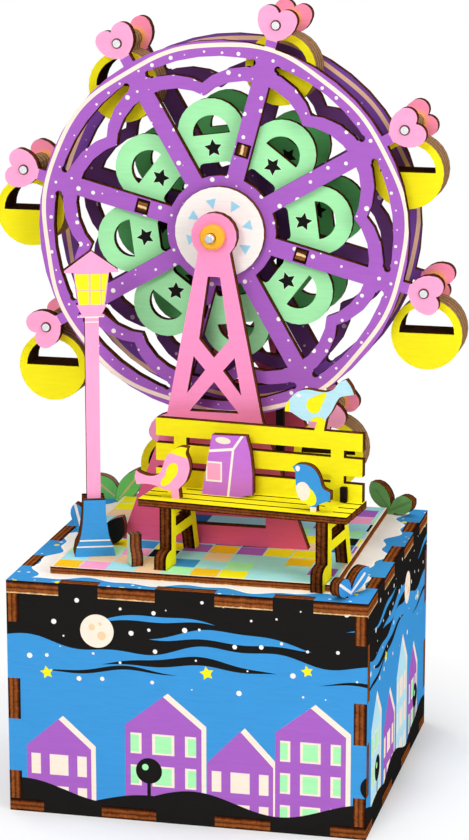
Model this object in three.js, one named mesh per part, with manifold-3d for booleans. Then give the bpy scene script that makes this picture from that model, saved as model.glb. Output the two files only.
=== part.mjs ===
// Wooden ferris wheel music box kit: a crank at the back turns the wheel by a belt
// and a pinned cylinder by a gear pair. Millimetres, +Z up, front face towards -Y.
// X and Y are zero at the middle of the wheel, Z is zero at the bottom of the box.
import * as THREE from 'three';
import { mergeVertices } from 'three/addons/utils/BufferGeometryUtils.js';
import Module from 'manifold-3d';

const wasm = await Module();
wasm.setup();

// Clearances and the overrun of every cut
const seat_gap = 0.1;
const run_gap = 0.1;
const side_gap = 0.3;
const slot_gap = 0.2;
const overrun = 2;

// Facets: sides of whole turned pieces, and steps of each curve of a cut plate
const fine_sides = 30;
const round_sides = 20;
const small_sides = 16;
const tiny_sides = 10;
const rim_steps = 24;
const lobe_steps = 12;
const petal_steps = 14;
const window_steps = 7;
const disc_steps = 14;
const arc_steps = 7;
const heart_steps = 5;
const corner_steps = 4;
const fillet_steps = 1;
const bird_steps = 3;
const leaf_steps = 7;

// Box of plywood panels with finger joints
const box_width = 98;
const box_depth = 95.5;
const box_height = 65;
const box_ply = 3.5;
const box_x = 1.4;
const box_y = -12;
const lid_finger_shares = [0.165, 0.483, 0.705];
const base_finger_shares = [0.165, 0.474, 0.805];
const column_finger_shares = [0.177, 0.403, 0.58, 0.823];

// Tiled platform glued on the lid
const platform_width = 77.5;
const platform_depth = 80;
const platform_ply = 2;
const platform_shift_x = -0.4;
const platform_shift_y = 0.5;

// Wheel
const bays = 8;
const wheel_turn = THREE.MathUtils.degToRad(30);
const wheel_clearance = 6;
const ring_ply = 3;
const petal_ply = 2.5;
const ring_spacing = 17;
const rim_radius = 51.6;
const rim_width = 4.2;
const lobe_centre = 26.7;
const lobe_radius = 18.9;
const inner_lobe_centre = 24.5;
const inner_lobe_radius = 17.2;
const hub_radius = 15.2;
const spoke_width = 4.8;
const bridge_width = 5.2;
const pin_circle_radius = 57.8;
const arm_width = 3;
const heart_width = 10.8;
const heart_height = 9.3;
const heart_lobe_radius = 2.9;
const heart_tip_inset = 4.5;
const petal_centre = 26.5;
const petal_radius = 9.4;
const petal_root_width = 11;
const petal_root = 14.5;
const petal_hub_radius = 19;
const petal_window_radius = 5.2;
const petal_window_inner = 26.1;
const petal_slot_inner = 14.3;
const petal_slot_outer = 18.4;
const petal_slot_width = 9;
const petal_slot_corner = 1.2;
const hub_disc_radius = 12.4;
const hub_disc_ply = 2.3;
const spacer_width = 3.4;
const spacer_height = 3.6;
const spacer_radius = 22.9;

// Gondolas and the steel pins that they hang on
const gondola_radius = 9.8;
const gondola_depth = 11;
const gondola_drop = 12.3;
const gondola_rim = 2.2;
const gondola_ear_radius = 2.6;
const gondola_ear_width = 4;
const gondola_sill = 0.2;
const pin_radius = 1;
const pin_head_radius = 1.3;
const pin_head_height = 0.5;
const pin_stand_out = 0.8;

// Axle, washer, pulleys and belt
const axle_radius = 1.3;
const axle_front_end = 5.7;
const axle_back_end = 1.5;
const axle_chamfer = 0.3;
const washer_radius = 3.4;
const washer_depth = 3;
const washer_rounding = 0.6;
const belt_radius = 10.6;
const belt_thickness = 2.2;
const pulley_depth = 5.2;
const pulley_flange = 2;

// Towers
const tower_ply = 3;
const tower_front_gap = 3.4;
const tower_back_gap = 0.6;
const tower_head_radius = 6.3;
const tower_neck_width = 8.8;
const tower_neck_drop = 4.7;
const tower_waist_width = 26.9;
const tower_waist_height = 35.3;
const tower_foot_width = 52.8;
const tower_slot_width = 8.3;
const tower_slot_top_width = 3.4;
const tower_slot_top_drop = 11.1;
const tower_slot_wide_drop = 28.4;
const tower_slot_low_drop = 33.4;
const tower_side_window = [[5.7, 33.2], [2.5, 36.9], [7.6, 43.6]];
const tower_low_window_width = 13.8;
const tower_low_window_top_drop = 40.1;
const tower_low_window_drop = 48.6;
const tower_step_slot_width = 29;
const tower_step_slot_height = 2.8;
const tower_step_slot_rise = 5.4;
const tower_tab_width = 8;
const tower_tab_spread = 32;

// Crank and its shaft
const crank_height = 34;
const crank_throw = 22;
const crank_arm_width = 9;
const crank_arm_ply = 3.5;
const crank_panel_gap = 0.5;
const crank_shaft_radius = 1.5;
const crank_shaft_inner_end = 17;
const knob_radius = 5.6;
const knob_length = 19.7;
const knob_waist_radius = 4.2;
const knob_end_radius = 4.6;
const knob_stem_radius = 1.4;
const knob_stem_stop = 2;

// Music movement
const pinion_pitch_radius = 6;
const pinion_teeth = 12;
const gear_teeth = 24;
const tooth_addendum = 0.75;
const tooth_dedendum = 1.1;
const tooth_tip_width = 0.65;
const tooth_root_width = 1.75;
const gear_depth = 4;
const gear_drop = 13.4;
const cylinder_radius = 7;
const cylinder_length = 27.5;
const cylinder_pin_height = 0.5;
const cylinder_pin_width = 0.6;
const cylinder_rows = 4;
const cylinder_pin_step_turn = 2.4;
const arbor_radius = 1.2;
const frame_base_thickness = 2.5;
const frame_base_width = 40;
const frame_upright_thickness = 2;
const frame_upright_margin = 5;
const frame_pad_width = 7;
const comb_teeth = 12;
const comb_thickness = 1;
const comb_back_width = 8;
const comb_slit = 0.35;
const comb_tip_gap = 0.4;

// Bench, in its own turned frame
const bench_x = 14.7;
const bench_y = -40.3;
const bench_turn = THREE.MathUtils.degToRad(-6.3);
const seat_width = 58.4;
const seat_depth = 18.2;
const seat_front = -6.2;
const seat_shift = -0.5;
const seat_ply = 2;
const seat_height = 18;
const seat_slats = 4;
const seat_slit = 0.8;
const back_width = 58.6;
const back_shift = -1.1;
const back_height = 18.8;
const back_ply = 2.5;
const back_slats = 3;
const back_gap = 2.1;
const back_set_in = 0.1;
const batten_inset = 7;
const batten_width = 3.6;
const leg_ply = 3.4;
const leg_inset = 7.3;
const leg_front = -6;
const leg_post_width = 3.3;
const leg_top_height = 2.3;
const leg_back_top = 10.8;
const leg_back_foot = 15.5;
const leg_bar_low = 7.6;
const leg_bar_height = 2.8;
const leg_foot_bulge = 4.4;
const leg_foot_height = 4.6;

// Street lamp
const lamp_x = -29.9;
const lamp_y = -36;
const lamp_turn = THREE.MathUtils.degToRad(20);
const lamp_ply = 3;
const lamp_post_width = 3.7;
const lamp_post_top = 65.7;
const lamp_foot_socket = 3;
const lamp_ring_width = 6.7;
const lamp_ring_height = 0.8;
const lamp_collar_low_width = 5.4;
const lamp_collar_width = 8.1;
const lamp_collar_height = 2.6;
const lamp_lantern_low_width = 7.2;
const lamp_lantern_width = 9.5;
const lamp_lantern_height = 8.7;
const lamp_roof_width = 14.4;
const lamp_eave_height = 0.6;
const lamp_roof_height = 5.2;
const lamp_base_width = 11;
const lamp_base_foot_width = 10;
const lamp_base_foot_height = 2.8;
const lamp_base_step_width = 8.3;
const lamp_base_step_height = 4.5;
const lamp_base_top_width = 5.9;
const lamp_base_height = 15.8;
const lamp_base_depth = 7.5;

// Flat figures that stand on the bench, and leaf sprigs
const figure_ply = 2.5;
const sprig_ply = 3;
const bag_width = 14.4;
const bag_height = 17;
const bag_side = 4;
const bag_back = 6.4;
const pink_bird_length = 15.8;
const pink_bird_height = 14.4;
const pink_bird_overhang = 2.7;
const pink_bird_front = -3;
const blue_bird_length = 10.4;
const blue_bird_height = 12.6;
const blue_bird_inset = 16.3;
const blue_bird_front = -3.5;
const pale_bird_length = 19.3;
const pale_bird_height = 14.4;
const pale_bird_place = 6.4;

// Places that follow from the sizes above
const box_bottom = 0;
const lid_top = box_height;
const lid_bottom = lid_top - box_ply;
const floor_top = box_bottom + box_ply;
const deck = lid_top + platform_ply;
const axle_rise = pin_circle_radius + gondola_drop + gondola_radius + wheel_clearance;
const axle_height = deck + axle_rise;
const front_ring_back = -ring_spacing / 2;
const front_ring_front = front_ring_back - ring_ply;
const front_petal_back = front_ring_back + petal_ply;
const rear_ring_front = ring_spacing / 2;
const rear_ring_back = rear_ring_front + ring_ply;
const rear_petal_back = rear_ring_back + petal_ply;
const hub_disc_front = front_ring_front - hub_disc_ply;
const front_tower_back = hub_disc_front - tower_front_gap;
const front_tower_front = front_tower_back - tower_ply;
const washer_front = front_tower_front - side_gap - washer_depth;
const axle_front = washer_front - axle_front_end + side_gap + washer_depth;
const pulley_front = rear_petal_back;
const pulley_back = pulley_front + pulley_depth;
const pulley_middle = (pulley_front + pulley_back) / 2;
const rear_tower_front = pulley_back + tower_back_gap;
const rear_tower_back = rear_tower_front + tower_ply;
const axle_back = rear_tower_back + axle_back_end;
const box_back = box_y + box_depth / 2;
const box_front = box_y - box_depth / 2;
const crank_arm_front = box_back + crank_panel_gap;
const crank_arm_back = crank_arm_front + crank_arm_ply;
const bay_angle = 2 * Math.PI / bays;
const heart_tip_radius = pin_circle_radius - heart_tip_inset;
const leg_spread = seat_width - 2 * leg_inset;
const batten_spread = back_width - 2 * batten_inset;
const pink_bird_place = -seat_width / 2 - pink_bird_overhang;
const blue_bird_place = seat_width / 2 - blue_bird_inset;
const gear_pitch_radius = pinion_pitch_radius * gear_teeth / pinion_teeth;

// Small tools for making solids
function solidOf(geometry) {
  const bare = geometry.clone();
  bare.deleteAttribute('normal');
  bare.deleteAttribute('uv');
  const merged = mergeVertices(bare, seat_gap / 1000);
  return new wasm.Manifold(new wasm.Mesh({
    numProp: 3,
    vertProperties: Float32Array.from(merged.attributes.position.array),
    triVerts: Uint32Array.from(merged.index.array),
  }));
}

function geometryOf(solid) {
  const mesh = solid.getMesh();
  const geometry = new THREE.BufferGeometry();
  geometry.setAttribute('position', new THREE.BufferAttribute(mesh.vertProperties, 3));
  geometry.setIndex(new THREE.BufferAttribute(mesh.triVerts, 1));
  geometry.computeVertexNormals();
  return geometry;
}

function union(solids) {
  return solids.reduce((whole, next) => whole.add(next));
}

function outline(points) {
  return new THREE.Shape(points.map(([x, y]) => new THREE.Vector2(x, y)));
}

function mirrored(points) {
  return [...points, ...points.map(([x, y]) => [-x, y]).reverse()];
}

// A plate cut from a shape, lying flat with its underside at a height
function lying(shape, thickness, bottom, steps = arc_steps) {
  const geometry = new THREE.ExtrudeGeometry(shape, {
    depth: thickness, bevelEnabled: false, curveSegments: steps,
  });
  return geometry.translate(0, 0, bottom);
}

// A plate facing the front: the shape's x is X and its y is Z
function standing(shape, thickness, front, steps = arc_steps) {
  const geometry = lying(shape, thickness, 0, steps);
  geometry.rotateX(Math.PI / 2);
  return geometry.translate(0, front + thickness, 0);
}

// A plate facing sideways: the shape's x is Y and its y is Z
function sideways(shape, thickness, left) {
  const geometry = lying(shape, thickness, 0);
  const axes = new THREE.Matrix4().makeBasis(
    new THREE.Vector3(0, 1, 0), new THREE.Vector3(0, 0, 1), new THREE.Vector3(1, 0, 0));
  geometry.applyMatrix4(axes);
  return geometry.translate(left, 0, 0);
}

function block(x0, x1, y0, y1, z0, z1) {
  const geometry = new THREE.BoxGeometry(x1 - x0, y1 - y0, z1 - z0);
  return geometry.translate((x0 + x1) / 2, (y0 + y1) / 2, (z0 + z1) / 2);
}

// A round bar along Y
function bar(radius, y0, y1, x = 0, z = 0, sides = small_sides) {
  const geometry = new THREE.CylinderGeometry(radius, radius, y1 - y0, sides);
  return geometry.translate(x, (y0 + y1) / 2, z);
}

// A turned piece about Y, from points of radius and place along Y
function turned(profile, sides = round_sides) {
  const points = profile.map(([radius, y]) => new THREE.Vector2(radius, y));
  return new THREE.LatheGeometry(points, sides);
}

function chamferedBar(radius, y0, y1, chamfer) {
  return turned([
    [0, y0], [radius - chamfer, y0], [radius, y0 + chamfer],
    [radius, y1 - chamfer], [radius - chamfer, y1], [0, y1],
  ], small_sides);
}

// A bored turned piece: its profile closes on itself
function bored(profile, bore, sides = round_sides) {
  const first = profile[0];
  const last = profile[profile.length - 1];
  return turned([[bore, first[1]], ...profile, [bore, last[1]], [bore, first[1]]], sides);
}

// Colours of the painted and bare pieces
const colours = {
  ply: '#c99a62', night: '#23212b', lid: '#efe8e4', tiles: '#96d7d7', purple: '#b262d6',
  mint: '#b4f5b9', green: '#327d3c', white: '#f1ebe2', pink: '#ffaad7', tower: '#f593bb',
  yellow: '#faeb1e', blue: '#4196d7', steel: '#c9ccd0', brass: '#c8a24a', black: '#1e1e1c',
  orange: '#f7a823', bag: '#cd73dc', pale: '#b9e4f0', leaf: '#4fa353', red: '#b5405a',
};

function material(colour, roughness = 0.65, metalness = 0) {
  return new THREE.MeshStandardMaterial({ color: colour, roughness, metalness });
}

const part = new THREE.Group();

function place(name, geometry, colour, { group = part, roughness, metalness } = {}) {
  const mesh = new THREE.Mesh(geometry, material(colour, roughness, metalness));
  mesh.name = name;
  group.add(mesh);
  return mesh;
}

function steel(name, geometry, group = part) {
  return place(name, geometry, colours.steel, { group, roughness: 0.3, metalness: 1 });
}

// Finger joint outlines of the box
const half_width = box_width / 2;
const half_depth = box_depth / 2;
const columns = column_finger_shares.map((share) => share * box_height);

// The lid and the base: notches where the walls' fingers come through
function flatPanelShape(shares) {
  const [x1, x2, x3] = shares.map((share) => share * half_width);
  const [y1, y2, y3] = shares.map((share) => share * half_depth);
  const w = half_width;
  const d = half_depth;
  const t = box_ply;
  const quarter = [
    [w - t, 0], [w - t, y1], [w, y1], [w, y2], [w - t, y2], [w - t, y3], [w, y3], [w, d],
    [x3, d], [x3, d - t], [x2, d - t], [x2, d], [x1, d], [x1, d - t], [0, d - t],
  ];
  const half = [...quarter.map(([x, y]) => [x, -y]).reverse(), ...quarter.slice(1)];
  return outline([...half, ...half.slice(1, -1).map(([x, y]) => [-x, y]).reverse()]);
}

// A wall: fingers up into the lid, down into the base, and along both upright edges
function wallShape(half, ownsCorners) {
  const [b1, b2, b3] = base_finger_shares.map((share) => share * half);
  const [l1, l2, l3] = lid_finger_shares.map((share) => share * half);
  const [c1, c2, c3, c4] = columns;
  const inner = half - box_ply;
  const a = ownsCorners ? half : inner;
  const b = ownsCorners ? inner : half;
  const right = [
    [b1, box_bottom], [b1, floor_top], [b2, floor_top], [b2, box_bottom],
    [b3, box_bottom], [b3, floor_top],
    [a, floor_top], [a, c1], [b, c1], [b, c2], [a, c2], [a, c3], [b, c3], [b, c4],
    [a, c4], [a, lid_bottom],
    [l3, lid_bottom], [l3, lid_top], [l2, lid_top], [l2, lid_bottom],
    [l1, lid_bottom], [l1, lid_top],
  ];
  return outline(mirrored(right));
}

// Holes that the belt and the tower tabs need through the lid and the platform
function beltHoles(z0, z1) {
  const reach = belt_thickness / 2 + side_gap;
  return [-1, 1].map((side) => solidOf(block(
    side * belt_radius - reach, side * belt_radius + reach,
    pulley_middle - reach, pulley_middle + reach, z0, z1)));
}

function towerTabHoles(z0, z1) {
  const holes = [];
  for (const front of [front_tower_front, rear_tower_front]) {
    for (const side of [-1, 1]) {
      const middle = side * tower_tab_spread / 2;
      const reach = tower_tab_width / 2 + slot_gap;
      holes.push(solidOf(block(middle - reach, middle + reach,
        front - slot_gap, front + tower_ply + slot_gap, z0, z1)));
    }
  }
  return holes;
}

// Turns bench coordinates into the frame of the part
const bench_matrix = new THREE.Matrix4().makeRotationZ(bench_turn).setPosition(bench_x, bench_y, 0);
const leg_lefts = [-1, 1].map((side) => side * leg_spread / 2 - leg_ply / 2);
const foot_front = leg_front - leg_foot_bulge;
const foot_back = leg_front + leg_post_width;

function footHoles(z0, z1) {
  return leg_lefts.map((left) => {
    const hole = block(left - slot_gap, left + leg_ply + slot_gap,
      foot_front - slot_gap, foot_back + slot_gap, z0, z1);
    return solidOf(hole.applyMatrix4(bench_matrix));
  });
}

function makeBox() {
  const base = lying(flatPanelShape(base_finger_shares), box_ply, box_bottom);
  place('base_plate', base.translate(box_x, box_y, 0), colours.ply);

  const lid = lying(flatPanelShape(lid_finger_shares), box_ply, lid_bottom);
  const lid_cuts = [
    ...beltHoles(lid_bottom - overrun, lid_top + overrun),
    ...towerTabHoles(lid_bottom - overrun, lid_top + overrun),
  ];
  const lid_solid = solidOf(lid.translate(box_x, box_y, 0)).subtract(union(lid_cuts));
  place('top_plate', geometryOf(lid_solid), colours.lid);

  const wall = wallShape(half_width, false);
  const front = standing(wall, box_ply, box_front);
  place('front_panel', front.translate(box_x, 0, 0), colours.night);

  const back = standing(wall, box_ply, box_back - box_ply).translate(box_x, 0, 0);
  const bore = bar(crank_shaft_radius + run_gap, box_back - box_ply - overrun,
    box_back + overrun, 0, crank_height);
  place('back_panel', geometryOf(solidOf(back).subtract(solidOf(bore))), colours.night);

  const side = wallShape(half_depth, true);
  const left = sideways(side, box_ply, box_x - half_width);
  place('left_panel', left.translate(0, box_y, 0), colours.night);
  const right = sideways(side, box_ply, box_x + half_width - box_ply);
  place('right_panel', right.translate(0, box_y, 0), colours.night);

  const centre_x = box_x + platform_shift_x;
  const centre_y = box_y + platform_shift_y;
  const slab = solidOf(block(
    centre_x - platform_width / 2, centre_x + platform_width / 2,
    centre_y - platform_depth / 2, centre_y + platform_depth / 2, lid_top, deck));
  const cuts = [
    ...beltHoles(lid_top - overrun, deck + overrun),
    ...towerTabHoles(lid_top - overrun, deck + overrun),
    ...footHoles(lid_top - overrun, deck + overrun),
  ];
  place('platform', geometryOf(slab.subtract(union(cuts))), colours.tiles);
}

// Towers: an A frame with windows, a step slot and two tabs through the deck
function towerShape() {
  const foot = -axle_rise;
  const tab_end = lid_bottom - axle_height;
  const neck = tower_neck_width / 2;
  const tab_inner = tower_tab_spread / 2 - tower_tab_width / 2;
  const tab_outer = tower_tab_spread / 2 + tower_tab_width / 2;
  const shape = new THREE.Shape();
  shape.moveTo(-tower_foot_width / 2, foot);
  for (const [inner, outer] of [[-tab_outer, -tab_inner], [tab_inner, tab_outer]]) {
    shape.lineTo(inner, foot);
    shape.lineTo(inner, tab_end);
    shape.lineTo(outer, tab_end);
    shape.lineTo(outer, foot);
  }
  shape.lineTo(tower_foot_width / 2, foot);
  shape.lineTo(tower_waist_width / 2, foot + tower_waist_height);
  shape.lineTo(neck, -tower_neck_drop);
  const start = Math.atan2(-Math.sqrt(tower_head_radius ** 2 - neck ** 2), neck);
  shape.absarc(0, 0, tower_head_radius, start, Math.PI - start, false);
  shape.lineTo(-neck, -tower_neck_drop);
  shape.lineTo(-tower_waist_width / 2, foot + tower_waist_height);
  shape.closePath();

  const kite = outline(mirrored([
    [0, -tower_slot_low_drop], [tower_slot_width / 2, -tower_slot_wide_drop],
    [tower_slot_top_width / 2, -tower_slot_top_drop],
  ]).slice(0, -1));
  const low = outline([
    [-tower_low_window_width / 2, -tower_low_window_drop],
    [tower_low_window_width / 2, -tower_low_window_drop], [0, -tower_low_window_top_drop],
  ]);
  const step_low = foot + tower_step_slot_rise;
  const step = outline([
    [-tower_step_slot_width / 2, step_low], [tower_step_slot_width / 2, step_low],
    [tower_step_slot_width / 2, step_low + tower_step_slot_height],
    [-tower_step_slot_width / 2, step_low + tower_step_slot_height],
  ]);
  const right = outline(tower_side_window.map(([x, drop]) => [x, -drop]));
  const left = outline(tower_side_window.map(([x, drop]) => [-x, -drop]));
  const bore = new THREE.Path().absarc(0, 0, axle_radius + run_gap, 0, 2 * Math.PI, true);
  shape.holes.push(kite, low, step, left, right, bore);
  return shape;
}

function makeTowers() {
  const front = standing(towerShape(), tower_ply, front_tower_front);
  place('front_tower', front.translate(0, 0, axle_height), colours.tower);
  const rear = standing(towerShape(), tower_ply, rear_tower_front);
  place('rear_tower', rear.translate(0, 0, axle_height), colours.red);
}

// A heart whose tip points towards the hub, drawn on the +X spoke
function heartShape() {
  const spread = heart_width / 2 - heart_lobe_radius;
  const lobe = heart_tip_radius + heart_height - heart_lobe_radius;
  const notch = lobe + Math.sqrt(heart_lobe_radius ** 2 - spread ** 2);
  const bulge = (heart_tip_radius + lobe) / 2;
  const shape = new THREE.Shape();
  const inward = Math.atan2(-spread, notch - lobe);
  shape.moveTo(heart_tip_radius, 0);
  shape.quadraticCurveTo(bulge - heart_lobe_radius / 2, -heart_width / 2, lobe, -heart_width / 2);
  shape.absarc(lobe, -spread, heart_lobe_radius, -Math.PI / 2, -inward, false);
  shape.absarc(lobe, spread, heart_lobe_radius, inward, Math.PI / 2, false);
  shape.quadraticCurveTo(bulge - heart_lobe_radius / 2, heart_width / 2, heart_tip_radius, 0);
  return shape;
}

function discShape(radius, x = 0) {
  return new THREE.Shape().absarc(x, 0, radius, 0, 2 * Math.PI, false);
}

function rectShape(x0, x1, y0, y1) {
  return outline([[x0, y0], [x1, y0], [x1, y1], [x0, y1]]);
}

// One solid from a shape on the +X spoke, copied round the wheel
function roundWheel(shape, front, back, first, count, steps = arc_steps) {
  const copies = [];
  for (let i = 0; i < count; i += 1) {
    const geometry = standing(shape, back - front, front, steps);
    geometry.rotateY(-(first + i * 2 * Math.PI / count));
    copies.push(solidOf(geometry));
  }
  return union(copies);
}

const alternate_turn = wheel_turn + bay_angle;
const ring_holes = [front_ring_front - overrun, rear_ring_back + overrun];

function spacerHoles(gap) {
  const reach = gap + spacer_height / 2;
  const shape = rectShape(spacer_radius - spacer_width / 2 - gap,
    spacer_radius + spacer_width / 2 + gap, -reach, reach);
  return roundWheel(shape, ring_holes[0], ring_holes[1] + petal_ply, alternate_turn, bays / 2);
}

// A wheel ring: rim, scalloped band, spokes, hub, and a heart at the end of each arm
function ringSolid(front) {
  const back = front + ring_ply;
  const rim_inner = rim_radius - rim_width;
  const lobe_top = lobe_centre + lobe_radius;
  const slot_end = (rim_inner - lobe_top) / 2 + seat_gap;
  const disc = (radius, steps) => solidOf(standing(discShape(radius), ring_ply, front, steps));
  const around = (shape, steps) => roundWheel(shape, front, back, wheel_turn, bays, steps);
  const cut_front = front - overrun;
  const cut_back = back + overrun;
  const cutter = (radius, x, steps) => roundWheel(
    discShape(radius, x), cut_front, cut_back, wheel_turn, bays, steps);
  const rim_cut = solidOf(standing(discShape(rim_inner), cut_back - cut_front, cut_front, rim_steps));
  const rim = disc(rim_radius, rim_steps).subtract(rim_cut);
  const lobes = around(discShape(lobe_radius, lobe_centre), lobe_steps);
  const band = lobes.subtract(cutter(inner_lobe_radius, inner_lobe_centre, lobe_steps));
  const spokes = around(rectShape(0, lobe_top, -spoke_width / 2, spoke_width / 2));
  const bridge_reach = bridge_width / 2 + slot_end;
  const bridges = around(rectShape(lobe_top - rim_width, rim_inner + seat_gap,
    -bridge_reach, bridge_reach));
  const ends = [-1, 1].map((side) => {
    const hole = new THREE.Shape().absarc(
      (rim_inner + lobe_top) / 2, side * bridge_reach, slot_end, 0, 2 * Math.PI, false);
    return roundWheel(hole, cut_front, cut_back, wheel_turn, bays, corner_steps);
  });
  const arms = around(rectShape(rim_radius - seat_gap, heart_tip_radius + heart_height / 4,
    -arm_width / 2, arm_width / 2));
  const hearts = around(heartShape(), heart_steps);
  const bore = solidOf(bar(axle_radius + seat_gap, cut_front, cut_back));
  const pin_holes = cutter(pin_radius + run_gap, pin_circle_radius, corner_steps);
  const blank = union([rim, band, spokes, disc(hub_radius, disc_steps), bridges, arms, hearts]);
  const cut = union([...ends, bore, pin_holes, spacerHoles(slot_gap)]);
  return blank.subtract(cut);
}

// A flower plate: petals between the spokes, each with a window and a slot at its root
function petalSolid(front) {
  const back = front + petal_ply;
  const turn = wheel_turn + bay_angle / 2;
  const cut_front = front - overrun;
  const cut_back = back + overrun;
  const side = petal_radius * Math.cos(bay_angle / 4);
  const body = outline([
    [0, -petal_root_width / 2], [petal_root, -petal_root_width / 2],
    [petal_centre - petal_radius * Math.sin(bay_angle / 4), -side],
    [petal_centre - petal_radius * Math.sin(bay_angle / 4), side],
    [petal_root, petal_root_width / 2], [0, petal_root_width / 2],
  ]);
  const window = new THREE.Shape();
  window.absarc(petal_window_inner, 0, petal_window_radius, -Math.PI / 2, Math.PI / 2, false);
  window.closePath();
  const corner = petal_slot_corner;
  const slot = new THREE.Shape();
  const reach = petal_slot_width / 2;
  slot.absarc(petal_slot_outer - corner, -reach + corner, corner, -Math.PI / 2, 0, false);
  slot.absarc(petal_slot_outer - corner, reach - corner, corner, 0, Math.PI / 2, false);
  slot.absarc(petal_slot_inner + corner, reach - corner, corner, Math.PI / 2, Math.PI, false);
  slot.absarc(petal_slot_inner + corner, -reach + corner, corner, Math.PI, 1.5 * Math.PI, false);
  slot.closePath();
  const petals = roundWheel(discShape(petal_radius, petal_centre), front, back, turn, bays, petal_steps);
  const bodies = roundWheel(body, front, back, turn, bays);
  const hub = solidOf(standing(discShape(petal_hub_radius), petal_ply, front, disc_steps));
  const windows = roundWheel(window, cut_front, cut_back, turn, bays, window_steps);
  const slots = roundWheel(slot, cut_front, cut_back, turn, bays, fillet_steps);
  const bore = solidOf(bar(axle_radius + seat_gap, cut_front, cut_back));
  const blank = union([petals, bodies, hub]);
  return blank.subtract(union([windows, slots, bore, spacerHoles(slot_gap)]));
}

// A pulley: two flanges and a groove that leaves the belt clear
function pulleyGeometry(front, bore) {
  const outer = belt_radius + belt_thickness / 2 + pulley_flange / 2;
  const floor = belt_radius - belt_thickness / 2 - side_gap;
  const back = front + pulley_depth;
  const middle = front + pulley_depth / 2;
  const reach = belt_thickness / 2 + side_gap;
  return bored([
    [outer, front], [outer, middle - reach], [floor, middle - reach],
    [floor, middle + reach], [outer, middle + reach], [outer, back],
  ], bore);
}

function makeWheel() {
  const wheel = new THREE.Group();
  wheel.position.z = axle_height;
  part.add(wheel);
  const put = (name, geometry, colour) => place(name, geometry, colour, { group: wheel });
  put('front_ring', geometryOf(ringSolid(front_ring_front)), colours.purple);
  put('rear_ring', geometryOf(ringSolid(rear_ring_front)), colours.purple);
  put('front_petal_plate', geometryOf(petalSolid(front_ring_back)), colours.mint);
  put('rear_petal_plate', geometryOf(petalSolid(rear_ring_back)), colours.green);
  const disc = bored([[hub_disc_radius, hub_disc_front], [hub_disc_radius, front_ring_front]],
    axle_radius + seat_gap, fine_sides);
  put('hub_disc', disc, colours.white);
  put('wheel_pulley', pulleyGeometry(pulley_front, axle_radius + seat_gap), colours.ply);
  steel('wheel_axle', chamferedBar(axle_radius, axle_front, axle_back, axle_chamfer), wheel);
  const washer_back = front_tower_front - side_gap;
  const washer = bored([
    [washer_radius - washer_rounding, washer_front],
    [washer_radius, washer_front + washer_rounding], [washer_radius, washer_back],
  ], axle_radius + seat_gap);
  put('axle_washer', washer, colours.orange);
  for (let i = 0; i < bays / 2; i += 1) {
    const spacer = block(spacer_radius - spacer_width / 2, spacer_radius + spacer_width / 2,
      front_ring_front, rear_petal_back, -spacer_height / 2, spacer_height / 2);
    spacer.rotateY(-(alternate_turn + i * 2 * bay_angle));
    put(`wheel_spacer_${i + 1}`, spacer, colours.ply);
  }
  for (let i = 0; i < bays; i += 1) {
    const angle = wheel_turn + i * bay_angle;
    const pin = steel(`gondola_pin_${i + 1}`, turned([
      [0, front_ring_front - pin_head_height], [pin_head_radius, front_ring_front - pin_head_height],
      [pin_head_radius, front_ring_front], [pin_radius, front_ring_front],
      [pin_radius, rear_ring_back + pin_stand_out], [0, rear_ring_back + pin_stand_out],
    ], tiny_sides), wheel);
    pin.position.set(pin_circle_radius * Math.cos(angle), 0, pin_circle_radius * Math.sin(angle));
  }
}

// A gondola: a thick disc with a half round window, hung from an ear on its pin
function gondolaGeometry() {
  const front = -gondola_depth / 2;
  const disc = solidOf(standing(discShape(gondola_radius), gondola_depth, front, disc_steps));
  const ear = new THREE.Shape();
  ear.moveTo(-gondola_ear_width / 2, gondola_radius - gondola_rim / 2);
  ear.lineTo(gondola_ear_width / 2, gondola_radius - gondola_rim / 2);
  const start = -Math.acos(gondola_ear_width / 2 / gondola_ear_radius);
  ear.absarc(0, gondola_drop, gondola_ear_radius, start, Math.PI - start, false);
  ear.closePath();
  const ear_solid = solidOf(standing(ear, gondola_depth, front, corner_steps));
  const window = new THREE.Shape();
  window.absarc(0, gondola_sill, gondola_radius - gondola_rim, 0, Math.PI, false);
  window.closePath();
  const window_solid = solidOf(standing(window, gondola_depth + 2 * overrun, front - overrun));
  const bore = solidOf(bar(pin_radius + run_gap, front - overrun, overrun - front,
    0, gondola_drop, tiny_sides));
  const solid = disc.add(ear_solid).subtract(window_solid.add(bore));
  return geometryOf(solid).translate(0, 0, -gondola_drop);
}

function makeGondolas() {
  for (let i = 0; i < bays; i += 1) {
    const angle = wheel_turn + i * bay_angle;
    const gondola = place(`gondola_${i + 1}`, gondolaGeometry(), colours.yellow);
    gondola.position.set(pin_circle_radius * Math.cos(angle), 0,
      axle_height + pin_circle_radius * Math.sin(angle));
  }
}

// The belt: a flat loop round both pulleys
function makeBelt() {
  const rise = axle_height - crank_height;
  const loop = (radius) => {
    const path = new THREE.Shape();
    path.absarc(0, rise, radius, 0, Math.PI, false);
    path.absarc(0, 0, radius, Math.PI, 2 * Math.PI, false);
    path.closePath();
    return path;
  };
  const shape = loop(belt_radius + belt_thickness / 2);
  shape.holes.push(loop(belt_radius - belt_thickness / 2));
  const belt = standing(shape, belt_thickness, pulley_middle - belt_thickness / 2);
  place('drive_belt', belt.translate(0, 0, crank_height), colours.black, { roughness: 0.8 });
}

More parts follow.
